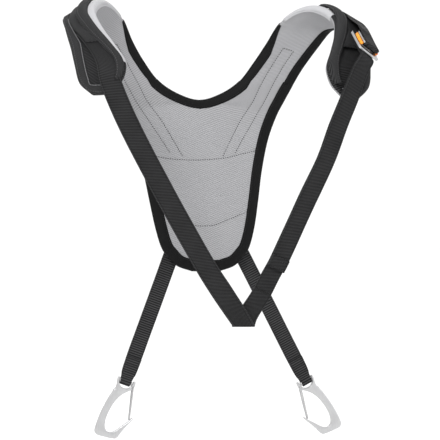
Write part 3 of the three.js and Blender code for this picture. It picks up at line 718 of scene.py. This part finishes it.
def folded_tape(name, edge, across, low, high, lips, mat, nodes, sides=(1,), thick=0.9,
                stitch=None):
    """A tape folded over an edge of the yoke; lips gives its reach on the lining and outer face."""
    rows = list(np.arange(low, high + 1e-6, 0.1))
    plan = [(r, sides[0]) for r in rows]
    if len(sides) == 2:
        plan = [(r, -1) for r in rows[:0:-1]] + plan
    rings, uvs, run, last = [], [], 0.0, None
    seam_rows = {1: [], -1: []}
    for r, way in plan:
        point, into, up = edge_station(edge, r, across if r >= 0 else r - HEM_ROW, low, high, way)
        run += 0 if last is None else np.linalg.norm(point - last)
        last = point
        outer, inner, us = [], [], []
        for face, reach in zip((-1, 1), lips(r)):
            for share in TAPE_SHARES[::-face]:
                q, n = skin_point(point + into * reach * share, up, face)
                puff = 0.5 * math.sin(math.pi * share) + 0.12 * math.sin(run * 1.3) * (1 - share)
                lift = thick * (0.25 if share == 1.0 else 1.0) + puff
                outer.append(q + n * lift)
                inner.append(q - n * 0.4)
                us.append(reach * share * face)
                if share == STITCHED_SHARE:
                    seam_rows[face].append((q + into * -1.2 + n * (thick + 0.25), n))
            if face < 0:
                for angle in (-50, 0, 50):
                    c, sn = math.cos(math.radians(angle)), math.sin(math.radians(angle))
                    h = rim_half(max(r, 0))
                    outer.append(point - into * (RIM_BULGE + thick) * c + up * (h + thick * 0.8) * sn)
                    inner.append(point - into * 0.6 * c + up * h * 0.8 * sn)
                    us.append(angle / 25)
        rings.append(outer + inner[::-1])
        uvs.append([(u, run) for u in us + us[::-1]])
    loft(name, rings, uvs, mat, "harness", nodes)
    if stitch:
        for sewn in seam_rows.values():
            SEWN.row(stitch, [p for p, _ in sewn], [n for _, n in sewn], pitch=2.8, length=2.0, radius=0.22)


def binding_lips(band):
    return lambda r: (profile(band, r) - SEAM_GAP,) * 2


folded_tape("armhole_binding_tape", hem_point, 1, HEM_ROW, ARM_BINDING_END, binding_lips(ARM_BAND),
            BINDING, ("armhole_binding",), sides=(1, -1), stitch=WEB_STITCH)
folded_tape("neck_binding_tape", inner_point, 0, NECK_ROW, BINDING_END, binding_lips(NECK_BAND),
            BINDING, ("neck_binding",), sides=(1, -1), stitch=WEB_STITCH)
for word, way in (("right", 1), ("left", -1)):
    folded_tape(f"{word}_facing_strip", inner_point, 0, BINDING_END + 0.3, FACING_END[word],
                lambda r: (1.5, profile(FACING_WIDTH, r) - SEAM_GAP), FACING, (f"{word}_arm_facing",),
                sides=(way,), thick=0.6)


# ---------------------------------------------------------------- webbing
def web_section(half, thickness):
    """Closed outline of a webbing's section as (across, height)."""
    cols = (-1, -0.985, -0.9, -0.6, -0.2, 0.2, 0.6, 0.9, 0.985, 1)
    tops = (0.3, 0.85, 1, 1, 1, 1, 1, 1, 0.85, 0.3)
    top = [(c * half, h * thickness / 2) for c, h in zip(cols, tops)]
    return top + [(a, -h) for a, h in top[::-1]]


def route_frames(stations, first=0.0, last=None, pitch=3.0, offset=0.0):
    """Even frames (point, across, up, half width) along a route of (point, half-width vector)."""
    path = spline([s[0] for s in stations])
    half = spline([s[1] for s in stations])
    spans = len(stations) - 1
    last = spans if last is None else last
    ts, frames = [], []
    for k in range(int(math.ceil(last - first))):
        a, b = first + k, min(first + k + 1, last)
        count = max(3, int(np.linalg.norm(path(b / spans) - path(a / spans)) / pitch))
        ts += list(np.linspace(a, b, count, endpoint=False))
    for t in ts + [last]:
        p = path(t / spans)
        d = path(min(t + 0.01, spans) / spans) - path(max(t - 0.01, 0) / spans)
        w = half(t / spans)
        up = unit(np.cross(d, w))
        frames.append((p + up * offset, unit(w), up, float(np.linalg.norm(w))))
    return frames


def webbing(name, frames, thickness, mat, body, nodes, wave=0.15):
    rings, uvs, s = [], [], 0.0
    for k, (p, across, up, w) in enumerate(frames):
        if k:
            s += float(np.linalg.norm(p - frames[k - 1][0]))
        ring, uv = [], []
        for a, h in web_section(w, thickness):
            sway = wave * math.sin(s * 0.09 + a * 0.12) if 0 < k < len(frames) - 1 else 0
            ring.append(p + across * a + up * (h + sway))
            uv.append((a, s))
        rings.append(ring)
        uvs.append(uv)
    return loft(name, rings, uvs, mat, body, nodes)


def box_stitch(key, frames, level, inset):
    """Stitches round the edge of a sewn stretch of webbing."""
    left = [p - a * (w - inset) + u * level for p, a, u, w in frames]
    right = [p + a * (w - inset) + u * level for p, a, u, w in frames]
    ups = [u if level > 0 else -u for _, _, u, _ in frames]
    SEWN.row(key, left, ups)
    SEWN.row(key, right, ups)
    for end in (0, -1):
        SEWN.row(key, [left[end], right[end]], [ups[end]] * 2)


def bartack(key, centre, along, across, up, reach=9.0, rows=3, gap=1.1):
    for k in range(rows):
        c = centre + along * (k - (rows - 1) / 2) * gap
        SEWN.row(key, [c - across * reach, c + across * reach], [up, up], pitch=1.3, length=1.2, radius=0.35)


COLUMNS = 8                     # quads across a strip
ROW_STEP = 0.12
COVER_START = 7.5
COVER_END = 18.9
PAD_START = 15
WING_END = 21.2
BORDER_START = 15.7
BORDER_TURN = 21.4              # the border leaves the armhole edge here and rounds the pad's end
BORDER_FOOT = 3.4               # how far the border's end hangs below the pad's
# Distance of the shoulder webbing's middle from the neck edge, and its half width, along the rows.
CHANNEL = [(7, 31), (8, 52), (9, 45), (10, 34), (11, 27), (12, 24), (13, 26), (14, 27), (15, 26),
           (16, 24), (18, 21), (18.5, 20.5)]
CHANNEL_HALF = [(14, 8), (17, 11.5)]
COVER_LIFT = [(17.5, 0), (18.3, 2.2)]


def strip_rings(count, at, way):
    """Rings of a strip. at(i, f) gives its top and bottom at a share f of its width, and the cloth's u."""
    flip = arr(way, 1, 1)
    rings, uvs, run = [], [], 0.0
    for i in range(count):
        cells = [at(i, k / COLUMNS) for k in range(COLUMNS + 1)]
        ring = [top * flip for top, _, _ in cells] + [bottom * flip for _, bottom, _ in cells[::-1]]
        if rings:
            run += float(np.linalg.norm(ring[0] - rings[-1][0]))
        rings.append(np.array(ring))
        us = [(u, run) for _, _, u in cells]
        uvs.append(us + us[::-1])
    return rings, uvs


def crowned(f, power):
    return math.sin(math.pi * f) ** power if 0 < f < 1 else 0


def yoke_strip(first, last, start, end, low, high, way, crown):
    """Rings of a crowned strip between two distances from the neck edge."""
    rows = np.arange(first, last + 1e-6, ROW_STEP)

    def at(i, f):
        r = rows[i]
        width = width_at(r)
        mm = start(r) + (end(r) - start(r)) * f
        up = normal(r, min(max(mm / width, 0), 1))
        base = middle(r, mm / width)
        rise = (high(r, f) - low(r, f)) * (0.25 + 0.75 * crowned(f, crown))
        return base + up * (low(r, f) + rise), base + up * low(r, f), mm
    return strip_rings(len(rows), at, way)


def wing_width(width):
    return min(10.0, (width - 2 * WEB_HALF - 4) / 2)


def shoulder_cover(way):
    """The webbing over the arch, whose free end covers the start of the chest strap."""
    return yoke_strip(
        COVER_START, COVER_END,
        lambda r: profile(CHANNEL, r) - profile(CHANNEL_HALF, r),
        lambda r: profile(CHANNEL, r) + profile(CHANNEL_HALF, r),
        lambda r, f: STRAP_LEVEL - 0.2 + profile(COVER_LIFT, r),
        lambda r, f: STRAP_LEVEL + WEB + profile(COVER_LIFT, r), way, 0.12)


def neck_wing(word, way):
    start, width = WING_START[word], WING_WIDTH[word]
    return yoke_strip(
        PAD_START, WING_END,
        lambda r: profile(start, r),
        lambda r: profile(start, r) + profile(width, r),
        lambda r, f: profile([(15, 7.0), (17, 5.6)], r) * (1 - f) + 9.6 * f,
        lambda r, f: 12.0 + 1.6 * f, way, 0.4)


def border_strip(way):
    """The padded border along the armhole edge and round the end of the pad."""
    stations = []
    for r in np.arange(BORDER_START, BORDER_TURN, ROW_STEP):
        width = width_at(r)
        stations.append(((r, 1.0 + 0.6 / width), (r, 1 - (1 + wing_width(width)) / width)))
    row_in, share_in = stations[-1][1]
    for k, (r, share) in enumerate(((21.7, 1.0), (21.9, 1.0), (22, 0.98), (22, 0.85), (22, 0.65),
                                    (22, 0.45), (22, 0.25), (22, 0.05))):
        stations.append(((r, share), (row_in + 0.012 * k, share_in * (1 - k / 7) + 0.1 * k / 7)))
    down = unit(middle(LAST_ROW, 0.5) - middle(LAST_ROW - 0.5, 0.5))

    def at(i, f):
        outer, inner = stations[i]
        r, share = inner[0] + (outer[0] - inner[0]) * f, inner[1] + (outer[1] - inner[1]) * f
        up, base = normal(r, min(share, 1)), middle(r, share)
        if outer[0] > 21.5:
            base = base + down * BORDER_FOOT * math.sin(math.pi * outer[1]) * f
        rise = 4.2 * profile([(BORDER_START, 0.3), (17.2, 1)], outer[0]) * (0.3 + 0.7 * crowned(f, 0.45))
        low = 6.4 - 2.4 * f
        return base + up * (low + rise), base + up * low, f * 10
    rings, uvs = strip_rings(len(stations), at, way)
    count = len(rings)
    for _ in range(6):
        rings[-16:-1] = [(rings[k - 1] + 2 * rings[k] + rings[k + 1]) / 4
                         for k in range(count - 16, count - 1)]
    return rings, uvs


def front_pads():
    for word, way in (("right", 1), ("left", -1)):
        rings, uvs = shoulder_cover(way)
        loft(f"{word}_shoulder_web", rings, uvs, CHEST, "harness", (f"{word}_shoulder_webbing",))
        cover_hem(rings)
        for name, (rings, uvs) in (("neck_wing", neck_wing(word, way)), ("outer_wing", border_strip(way))):
            wing = loft(f"{word}_{name}_pad", rings, uvs, WING, "harness", (f"{word}_{name}",))
            edge_row(rings)
        piping = [ring[0] + unit(ring[0] - ring[-1]) * 0.3 for ring in rings[8:]]
        tube(f"{word}_wing_piping", piping, 0.55, PIPING, "harness", (), 8)


def cover_hem(rings):
    """Stitches along the lower end of the cover that the chest strap comes out of."""
    ring = rings[-2]
    ups = [unit(ring[k] - ring[-1 - k]) for k in range(1, COLUMNS)]
    SEWN.row(WEB_STITCH, ring[1:COLUMNS], ups, pitch=2.4, length=1.8)


def edge_row(rings):
    """A stitch row near one long edge of a crowned strip."""
    column = COLUMNS - 2
    ups = [unit(ring[column] - ring[-1 - column]) for ring in rings]
    SEWN.row(TRIM_STITCH, [ring[column] for ring in rings], ups, pitch=3.0, length=2.0, radius=0.25)


front_pads()


# ---------------------------------------------------------------- chest strap
FOLD = (21, -166, -390)
FOLD_RADIUS = 2
BUCKLE = arr(171.2, -172.4, -54.6)
BUCKLE_U = unit(arr(0.76, 0.53, -0.376))
BUCKLE_N = arr(0.637, -0.484, 0.6)
BUCKLE_N = unit(BUCKLE_N - BUCKLE_U * BUCKLE_N.dot(BUCKLE_U))
BUCKLE_V = np.cross(BUCKLE_N, BUCKLE_U)


def on_buckle(u, v, n):
    return BUCKLE + BUCKLE_U * u + BUCKLE_V * v + BUCKLE_N * n


def slant(x, z, length=WEB_HALF):
    return unit(arr(x, 0, z)) * length


def channel_station(row, mm):
    p = yoke_point(row, mm / width_at(row), STRAP_LEVEL + WEB / 2 + 0.4) * (-1, 1, 1)
    return p, unit(outer_point(row) - inner_point(row)) * WEB_HALF * (-1, 1, 1)


def fold_turn(angle):
    return (arr(FOLD[0] + 2 * angle / math.pi, FOLD[1] - FOLD_RADIUS * math.cos(angle),
                FOLD[2] - FOLD_RADIUS * math.sin(angle)), arr(-14, 0, 0))


FALL = [
    channel_station(18.3, 22), channel_station(19, 22), channel_station(20, 21),
    ((-141, -189.8, -106), slant(-9.6, -4.2)), ((-118.1, -189, -158), slant(-9, -4.6)),
    ((-74.7, -181, -236.8), slant(-8.9, -4.9)), ((-29, -174, -314.7), slant(-8.7, -5.1)),
    ((-5.4, -171, -350.6), slant(-9.6, -4.6, 13)), ((12.1, -168.6, -376), slant(-12, -2.5, 13.5)),
    fold_turn(0), fold_turn(math.pi / 4), fold_turn(math.pi / 2), fold_turn(3 * math.pi / 4),
    fold_turn(math.pi), ((28, -162.6, -379), slant(-12, 2.5, 13)),
    ((43.6, -163, -355), (-10.9, -1.5, 5)), ((55.4, -165, -332), (-10.8, -2, 5)),
]
ACROSS = BUCKLE_U * -WEB_HALF
LOAD = [
    ((55.6, -165.2, -331.6), (-10.8, -2, 5)), ((67.1, -167, -309.5), (-10.8, -3, 5)),
    ((98, -173, -241), (-11.1, -3.5, 4.5)), ((119.8, -179, -193), (-11.1, -3.8, 4)),
    ((133.5, -185, -152.3), (-11.4, -3.8, 3.2)), ((145.2, -190, -121.2), (-11.6, -4, 2.4)),
    ((153, -190.5, -101), (-11.3, -4.8, 2)), ((160.5, -188.5, -84), (-10.6, -5.6, 3)),
] + [(on_buckle(u, v, n), ACROSS) for u, v, n in (
    (-2, -20, -5.2), (0, -13, -5.2), (0, -8, -5), (0, -3, -4.4), (0, 1, -3.7), (0, 3, -2.9),
    (0, 3.75, -1), (0, 3, 0.9), (0, 1, 1.7))]
TONGUE_TURN = [(-6, 8.85), (-8.4, 8.9), (-9.7, 8.6), (-10.3, 7.7), (-10.4, 6.7), (-10.3, 5.7),
               (-9.7, 4.8), (-8.4, 4.5), (-6.5, 4.45), (-4, 4.5)]


def chest_strap():
    route = FALL[:-1] + LOAD
    rise = len(FALL) - 1
    webbing("chest_strap_web", route_frames(route), WEB, CHEST, "harness",
            ("chest_strap_front", "chest_strap_load"))
    lift = WEB + SEAM_GAP
    tail = route_frames(route, rise + 0.5, rise + 10.5, offset=lift)
    webbing("strap_tail_web", tail, WEB, CHEST, "harness", ("strap_tail",))
    hem = route_frames(route, rise + 0.5, rise + 1.0, offset=2 * lift)
    webbing("tail_hem_fold", hem, WEB, CHEST, "harness", ("tail_hem",))
    box_stitch(WEB_STITCH, hem[1:-1], WEB / 2, inset=1.8)
    p, a, u, w = route_frames(FALL, 15.2, 15.6)[0]
    bartack(WEB_STITCH, p + u * WEB / 2, np.cross(u, a), a, u, reach=w - 2)
    arch = unit(outer_point(16) - inner_point(16)) * WEB_HALF
    across = BUCKLE_U * WEB_HALF
    tongue = [(yoke_point(15.2, 0.6, 11), arch), (yoke_point(16.3, 0.63, 12), arch),
              (yoke_point(17.1, 0.66, 13.5), arch),
              (on_buckle(-1, 22, 9.6), across), (on_buckle(0, 8, 8.9), across)]
    tongue += [(on_buckle(0, v, n), across) for v, n in TONGUE_TURN]
    frames = route_frames(tongue, pitch=2.0)
    bend = ("harness", "tongue", tongue[1][0], on_buckle(-1, 20, 9.6))
    webbing("tongue_web", frames, WEB, CHEST, bend, ("tongue_webbing",), wave=0.0)
    sewn = ("tongue_stitches", bend, BLACK_THREAD)
    box_stitch(sewn, route_frames(tongue, 1.6, 3.4, pitch=2.0), WEB / 2, inset=2)


chest_strap()


# ---------------------------------------------------------------- back of the panel
def panel_depth(z):
    return profile([(p[2], p[1]) for p in CENTRE_LINE], z)


REAR_LEVEL = OUTER_FACE + SEAM_GAP + 0.5
REAR_Y = panel_depth(-312) + REAR_LEVEL + REAR_WEB / 2 + 1


class RearFrame:
    """Axes of one rear strap: across to the outside, down it, and toward the viewer."""

    def __init__(self, hinge, pin, side):
        self.hinge, self.pin = arr(*hinge), arr(*pin)
        self.down = unit(self.pin - self.hinge)
        self.across = arr(-self.down[2] * side, 0, self.down[0] * side)
        self.front = arr(0, -1, 0)

    def at(self, a, b, c):
        return self.pin + self.across * a + self.down * b + self.front * c


REARS = {
    "left": RearFrame((-46, REAR_Y, -319), (-101, REAR_Y, -468.5), -1),
    "right": RearFrame((54, REAR_Y, -318), (134, REAR_Y, -472.5), 1),
}
PIN_RADIUS = 2.5
LOOP = PIN_RADIUS + SEAM_GAP + REAR_WEB / 2
PLY = REAR_WEB / 2 + 0.15
LOOP_PATH = [
    (-110, 0, 10), (-60, -PLY, 10), (-36, -PLY, 10), (-14, -PLY, 9.4), (-7, -PLY - 0.6, 7.9),
    (-3, -LOOP + 0.35, 7.1), (0, -LOOP, 7), (LOOP * 0.7, -LOOP * 0.7, 6.6), (LOOP, 0, 6.5),
    (LOOP * 0.7, LOOP * 0.7, 6.6), (0, LOOP, 7), (-3, LOOP - 0.35, 7.1), (-7, PLY + 0.6, 7.9),
    (-14, PLY, 9.4), (-32, PLY, 10),
]


PATCH_COLUMNS = 25
PATCH_SKIRT = 4.4               # the patch's edges reach this far down to the panel


def back_patch():
    """The patch over the sewn ends of the rear straps."""
    heights = [-304, -285, -265, -245, -225, -205, -185, -165]
    level = REAR_LEVEL + REAR_WEB + SEAM_GAP + 1
    depth = spline([(panel_depth(z) + level, 0, z) for z in heights])
    rings, uvs = [], []
    last = PATCH_COLUMNS - 1
    for t in np.linspace(0, 1, 60):
        y, _, z = depth(t)
        half = 44 + 18 * t
        top, bottom = [], []
        for k, x in enumerate(np.linspace(-half, half, PATCH_COLUMNS)):
            side = k in (0, last)
            dome = 0.35 * math.sin(math.pi * k / last) + 0.12 * math.sin(x * 0.35 + z * 0.11)
            top.append(arr(x, y + 1.2 * (0.4 if side else 1) + dome, z))
            bottom.append(arr(x, y - (PATCH_SKIRT if side or t in (0, 1) else 0), z))
        rings.append(top + bottom[::-1])
        us = [(2 * half * k / last, z) for k in range(PATCH_COLUMNS)]
        uvs.append(us + us[::-1])
    loft("back_patch_panel", rings, uvs, OUTER, "harness", ("back_patch",))
    rows = [[ring[column] for ring in rings] for column in (1, last - 1)]
    for row in rows + [rings[end][1:last] for end in (1, -2)]:
        SEWN.row(TRIM_STITCH, row, [arr(0, 1, 0)] * len(row))


back_patch()


def anchor_stations(rear):
    """The sewn end of a rear strap, from its top down the back of the panel."""
    stations = []
    for back in (80, 60, 40, 20):
        p = rear.hinge - rear.down * (REAR_WEB + back)
        p[1] = panel_depth(p[2]) + REAR_LEVEL + REAR_WEB / 2
        stations.append((p, rear.across * REAR_HALF))
    return stations


def rear_straps():
    for word, rear in REARS.items():
        length = float(np.linalg.norm(rear.pin - rear.hinge))
        stations = anchor_stations(rear) + [(rear.at(0, -length, 0), rear.across * REAR_HALF)]
        stations += [(rear.at(0, b, c), rear.across * half) for b, c, half in LOOP_PATH]
        body = f"{word}_rear"
        bend = ("harness", body, rear.hinge - rear.down * 7, rear.hinge + rear.down * 7)
        webbing(f"{word}_rear_web", route_frames(stations, pitch=2.2), REAR_WEB, REAR, bend,
                (f"{word}_rear_anchor", f"{word}_rear_strap"), wave=0.1)
        sewn = (f"{word}_rear_stitches", body, BLACK_THREAD)
        for c, way in ((PLY + REAR_WEB / 2 + 0.02, 1), (-PLY - REAR_WEB / 2 - 0.02, -1)):
            up = rear.front * way
            for a in (-8, 8):
                SEWN.row(sewn, [rear.at(a, -31, c), rear.at(a * 0.95, -13, c)], [up, up])
            for b in (-31, -22, -13):
                SEWN.row(sewn, [rear.at(-8, b, c), rear.at(8, b, c)], [up, up], pitch=2.2, length=1.8)


rear_straps()
SEWN.finish()


# ---------------------------------------------------------------- metal hardware
def rounded(points, times=3):
    """Cuts the corners of a closed outline until it is smooth."""
    pts = np.array(points, float)
    for _ in range(times):
        nxt = np.roll(pts, -1, axis=0)
        pts = np.stack([pts * 0.75 + nxt * 0.25, pts * 0.25 + nxt * 0.75], axis=1).reshape(-1, 2)
    return pts


def plate(name, outlines, depth, bevel, mat, to_world):
    """A bevelled plate of the outlines (holes after the first), centred on its own middle."""
    curve = bpy.data.curves.new(name, "CURVE")
    curve.dimensions = "2D"
    curve.fill_mode = "BOTH"
    curve.extrude = (depth / 2 - bevel) * MM
    curve.bevel_depth = bevel * MM
    curve.offset = -bevel * MM
    curve.bevel_resolution = 3
    for pts in outlines:
        line = curve.splines.new("POLY")
        line.points.add(len(pts) - 1)
        for p, (x, y) in zip(line.points, pts):
            p.co = (x * MM, y * MM, 0, 1)
        line.use_cyclic_u = True
    maker = bpy.data.objects.new(name + "_outline", curve)
    bpy.context.collection.objects.link(maker)
    graph = bpy.context.evaluated_depsgraph_get()
    mesh = bpy.data.meshes.new_from_object(maker.evaluated_get(graph))
    bpy.data.objects.remove(maker)
    co = [to_world(v.co.x / MM, v.co.y / MM, v.co.z / MM) for v in mesh.vertices]
    faces = [list(p.vertices) for p in mesh.polygons]
    obj = make_mesh(name, co, faces, [mat])
    tidy(obj, 0.01)
    return obj


def sharp(obj, angle=35):
    """Keeps edges over an angle crisp."""
    bm = bmesh.new()
    bm.from_mesh(obj.data)
    for e in bm.edges:
        e.smooth = len(e.link_faces) == 2 and e.calc_face_angle(0) < math.radians(angle)
    bm.to_mesh(obj.data)
    bm.free()
    return obj


CARABINER = [
    (8.2, -4), (11, -4), (10.6, 1.5), (9, 7.6), (9.6, 12.5), (11.2, 13.5), (11.4, 18), (13, 21.7),
    (15.2, 35), (16.6, 45), (17, 57.6), (16.7, 68.5), (15.4, 71.8), (12.4, 73.9), (9, 74),
    (-11, 72.2), (-14, 69.4), (-18.1, 56.4), (-25, 41.8), (-24.7, 40.2), (-23.2, 40.1),
    (-21, 45.2), (-15.3, 52.7), (-10.2, 60.3), (-6, 64.8), (-1.7, 66.5), (3, 65), (6.1, 60.8),
    (8.2, 51.5), (7.4, 40), (5, 28.5), (1, 19.4), (-3.5, 13.7), (-8.4, 9), (-12.5, 6.5),
    (-13.2, 2), (-12.6, -4), (-9.6, -4), (-9.4, 2), (-7.6, 5.6), (-4, 7.9), (-0.7, 8.4),
    (2.6, 7.9), (6.2, 5.6), (8, 2),
]
GATE = [(-11, 2.4, 4.4), (-12.6, 10, 4.4), (-14.6, 18, 4.3), (-18, 32, 3), (-19.9, 40.6, 2.3),
        (-20.3, 42.8, 1.2), (-20.4, 43.1, 0)]


def carabiners():
    for word, rear in REARS.items():
        body = plate(f"{word}_carabiner_body", [rounded(CARABINER, 2)], 6, 0.9, ALUMINIUM, rear.at)
        place(sharp(body, 50), f"{word}_clip", (f"{word}_carabiner",))
        side = [rear.at(a, 0, 0) for a in (-8.6, -8.5, -7.9, 0, 6.7, 7.3, 7.4)]
        tube(f"{word}_eye_bar", side, [1.6, 2.3, 2.5, 2.5, 2.5, 2.3, 1.6], STEEL, f"{word}_clip",
             (f"{word}_eye_pin",), sides=24)
        path = spline(GATE + [(a, b, -c) for a, b, c in GATE[-2::-1]])
        wire = [rear.at(*path(t)) for t in np.linspace(0, 1, 90)]
        tube(f"{word}_gate_wire", wire, 0.95, WIRE, f"{word}_gate", (f"{word}_wire_gate",))


carabiners()


def rounded_rect(left, bottom, right, top, radius, steps=6):
    out = []
    for cx, cy, start in ((right - radius, bottom + radius, -90), (right - radius, top - radius, 0),
                          (left + radius, top - radius, 90), (left + radius, bottom + radius, 180)):
        for k in range(steps + 1):
            t = math.radians(start + 90 * k / steps)
            out.append((cx + radius * math.cos(t), cy + radius * math.sin(t)))
    return out


def buckle():
    def level(n):
        return lambda u, v, w: on_buckle(u, v, n + w)
    frame_plate = plate("buckle_frame_plate", [rounded_rect(-19.3, -15, 19.3, 16, 3),
                        rounded_rect(-13, -9.3, 13, 12.5, 1)[::-1]], 3, 0.5, STEEL, level(0))
    place(sharp(frame_plate, 50), "harness", ("buckle_frame",))
    teeth = []
    for k in range(0, 105):
        u = -12.7 + 25.4 * k / 104
        teeth.append((on_buckle(u, 1, -1), 1.5 - 0.28 * (0.5 + 0.5 * math.cos(u * math.pi / 0.9))))
    tube("serrated_bar", [p for p, _ in teeth], [r for _, r in teeth], STEEL, "harness", ("adjuster_bar",))
    for word, side in (("left", -1), ("right", 1)):
        shape = [(13.4, -9), (17, -9), (17.75, -4), (18, 1), (17.5, 6), (16.6, 11), (13.6, 11),
                 (13.9, 5), (14.0, 1), (13.8, -4)]
        outline = rounded(shape, 2) * (side, 1)
        lever = plate(f"{word}_lever", [outline], 3.6, 0.7, LEVER, level(3.6))
        place(sharp(lever, 60), f"{word}_lever", (f"{word}_release_lever",))
        pin = [on_buckle(side * 15.2, -5, n) for n in (1.75, 1.8, 4.9, 5.35, 5.5)]
        tube(f"{word}_lever_rivet", pin, [0.8, 0.8, 0.8, 0.95, 0.6], STEEL, "harness", (f"{word}_lever_pin",))
    tongue = plate("tongue_plate", [rounded_rect(-15.5, -9, 15.5, 11.8, 2),
                   rounded_rect(-12.9, -5.8, 12.9, 5, 1)[::-1]], 2, 0.35, STEEL, level(6.7))
    place(sharp(tongue, 50), "tongue", ("buckle_tongue",))
    hook = plate("tongue_catch", [rounded_rect(-9, -3, 9, 3, 0.8)], 3.4, 0.4, STEEL,
                 lambda u, v, w: on_buckle(u, 10 + w, 2.4 + v))
    place(sharp(hook, 50), "tongue", ("tongue_hook",))


buckle()


# ---------------------------------------------------------------- stage
def stage():
    profile_line = [(-5000, -640), (2600, -640)]
    profile_line += [(2600 + 1400 * math.sin(t), -640 + 1400 * (1 - math.cos(t)))
                     for t in np.linspace(0, math.pi / 2, 17)[1:]] + [(4000, 6000)]
    verts = [(x, y, z) for y, z in profile_line for x in (-9000, 9000)]
    faces = [(2 * k, 2 * k + 1, 2 * k + 3, 2 * k + 2) for k in range(len(profile_line) - 1)]
    floor = make_mesh("floor", verts, faces, [material("floor_paper", (0.95, 0.95, 0.95), 0.9)])
    world = bpy.data.worlds.new("studio")
    world.use_nodes = True
    world.node_tree.nodes["Background"].inputs["Color"].default_value = (1, 1, 1, 1)
    world.node_tree.nodes["Background"].inputs["Strength"].default_value = 1.0
    bpy.context.scene.world = world
    bpy.context.scene.view_settings.view_transform = "Standard"
    target = Vector((0.0, -0.08, -0.25))
    for name, spot, size, power in (
            ("key_light", (-1.2, -2.0, 1.3), 0.9, 40), ("fill_light", (1.8, -1.6, 0.2), 1.4, 8),
            ("rim_light", (0.4, 1.6, 1.6), 1.2, 12)):
        light = bpy.data.lights.new(name, "AREA")
        light.size = size
        light.energy = power
        lamp = bpy.data.objects.new(name, light)
        lamp.location = spot
        lamp.rotation_euler = (target - Vector(spot)).to_track_quat("-Z", "Y").to_euler()
        bpy.context.collection.objects.link(lamp)
    camera = bpy.data.cameras.new("camera")
    camera.sensor_width = 36
    camera.lens = 130.9
    eye = bpy.data.objects.new("camera", camera)
    eye.location = (-0.4032, -2.0313, -0.265)
    eye.rotation_euler = Vector((0.2079, 0.9781, 0)).to_track_quat("-Z", "Y").to_euler()
    bpy.context.collection.objects.link(eye)
    bpy.context.scene.camera = eye


stage()
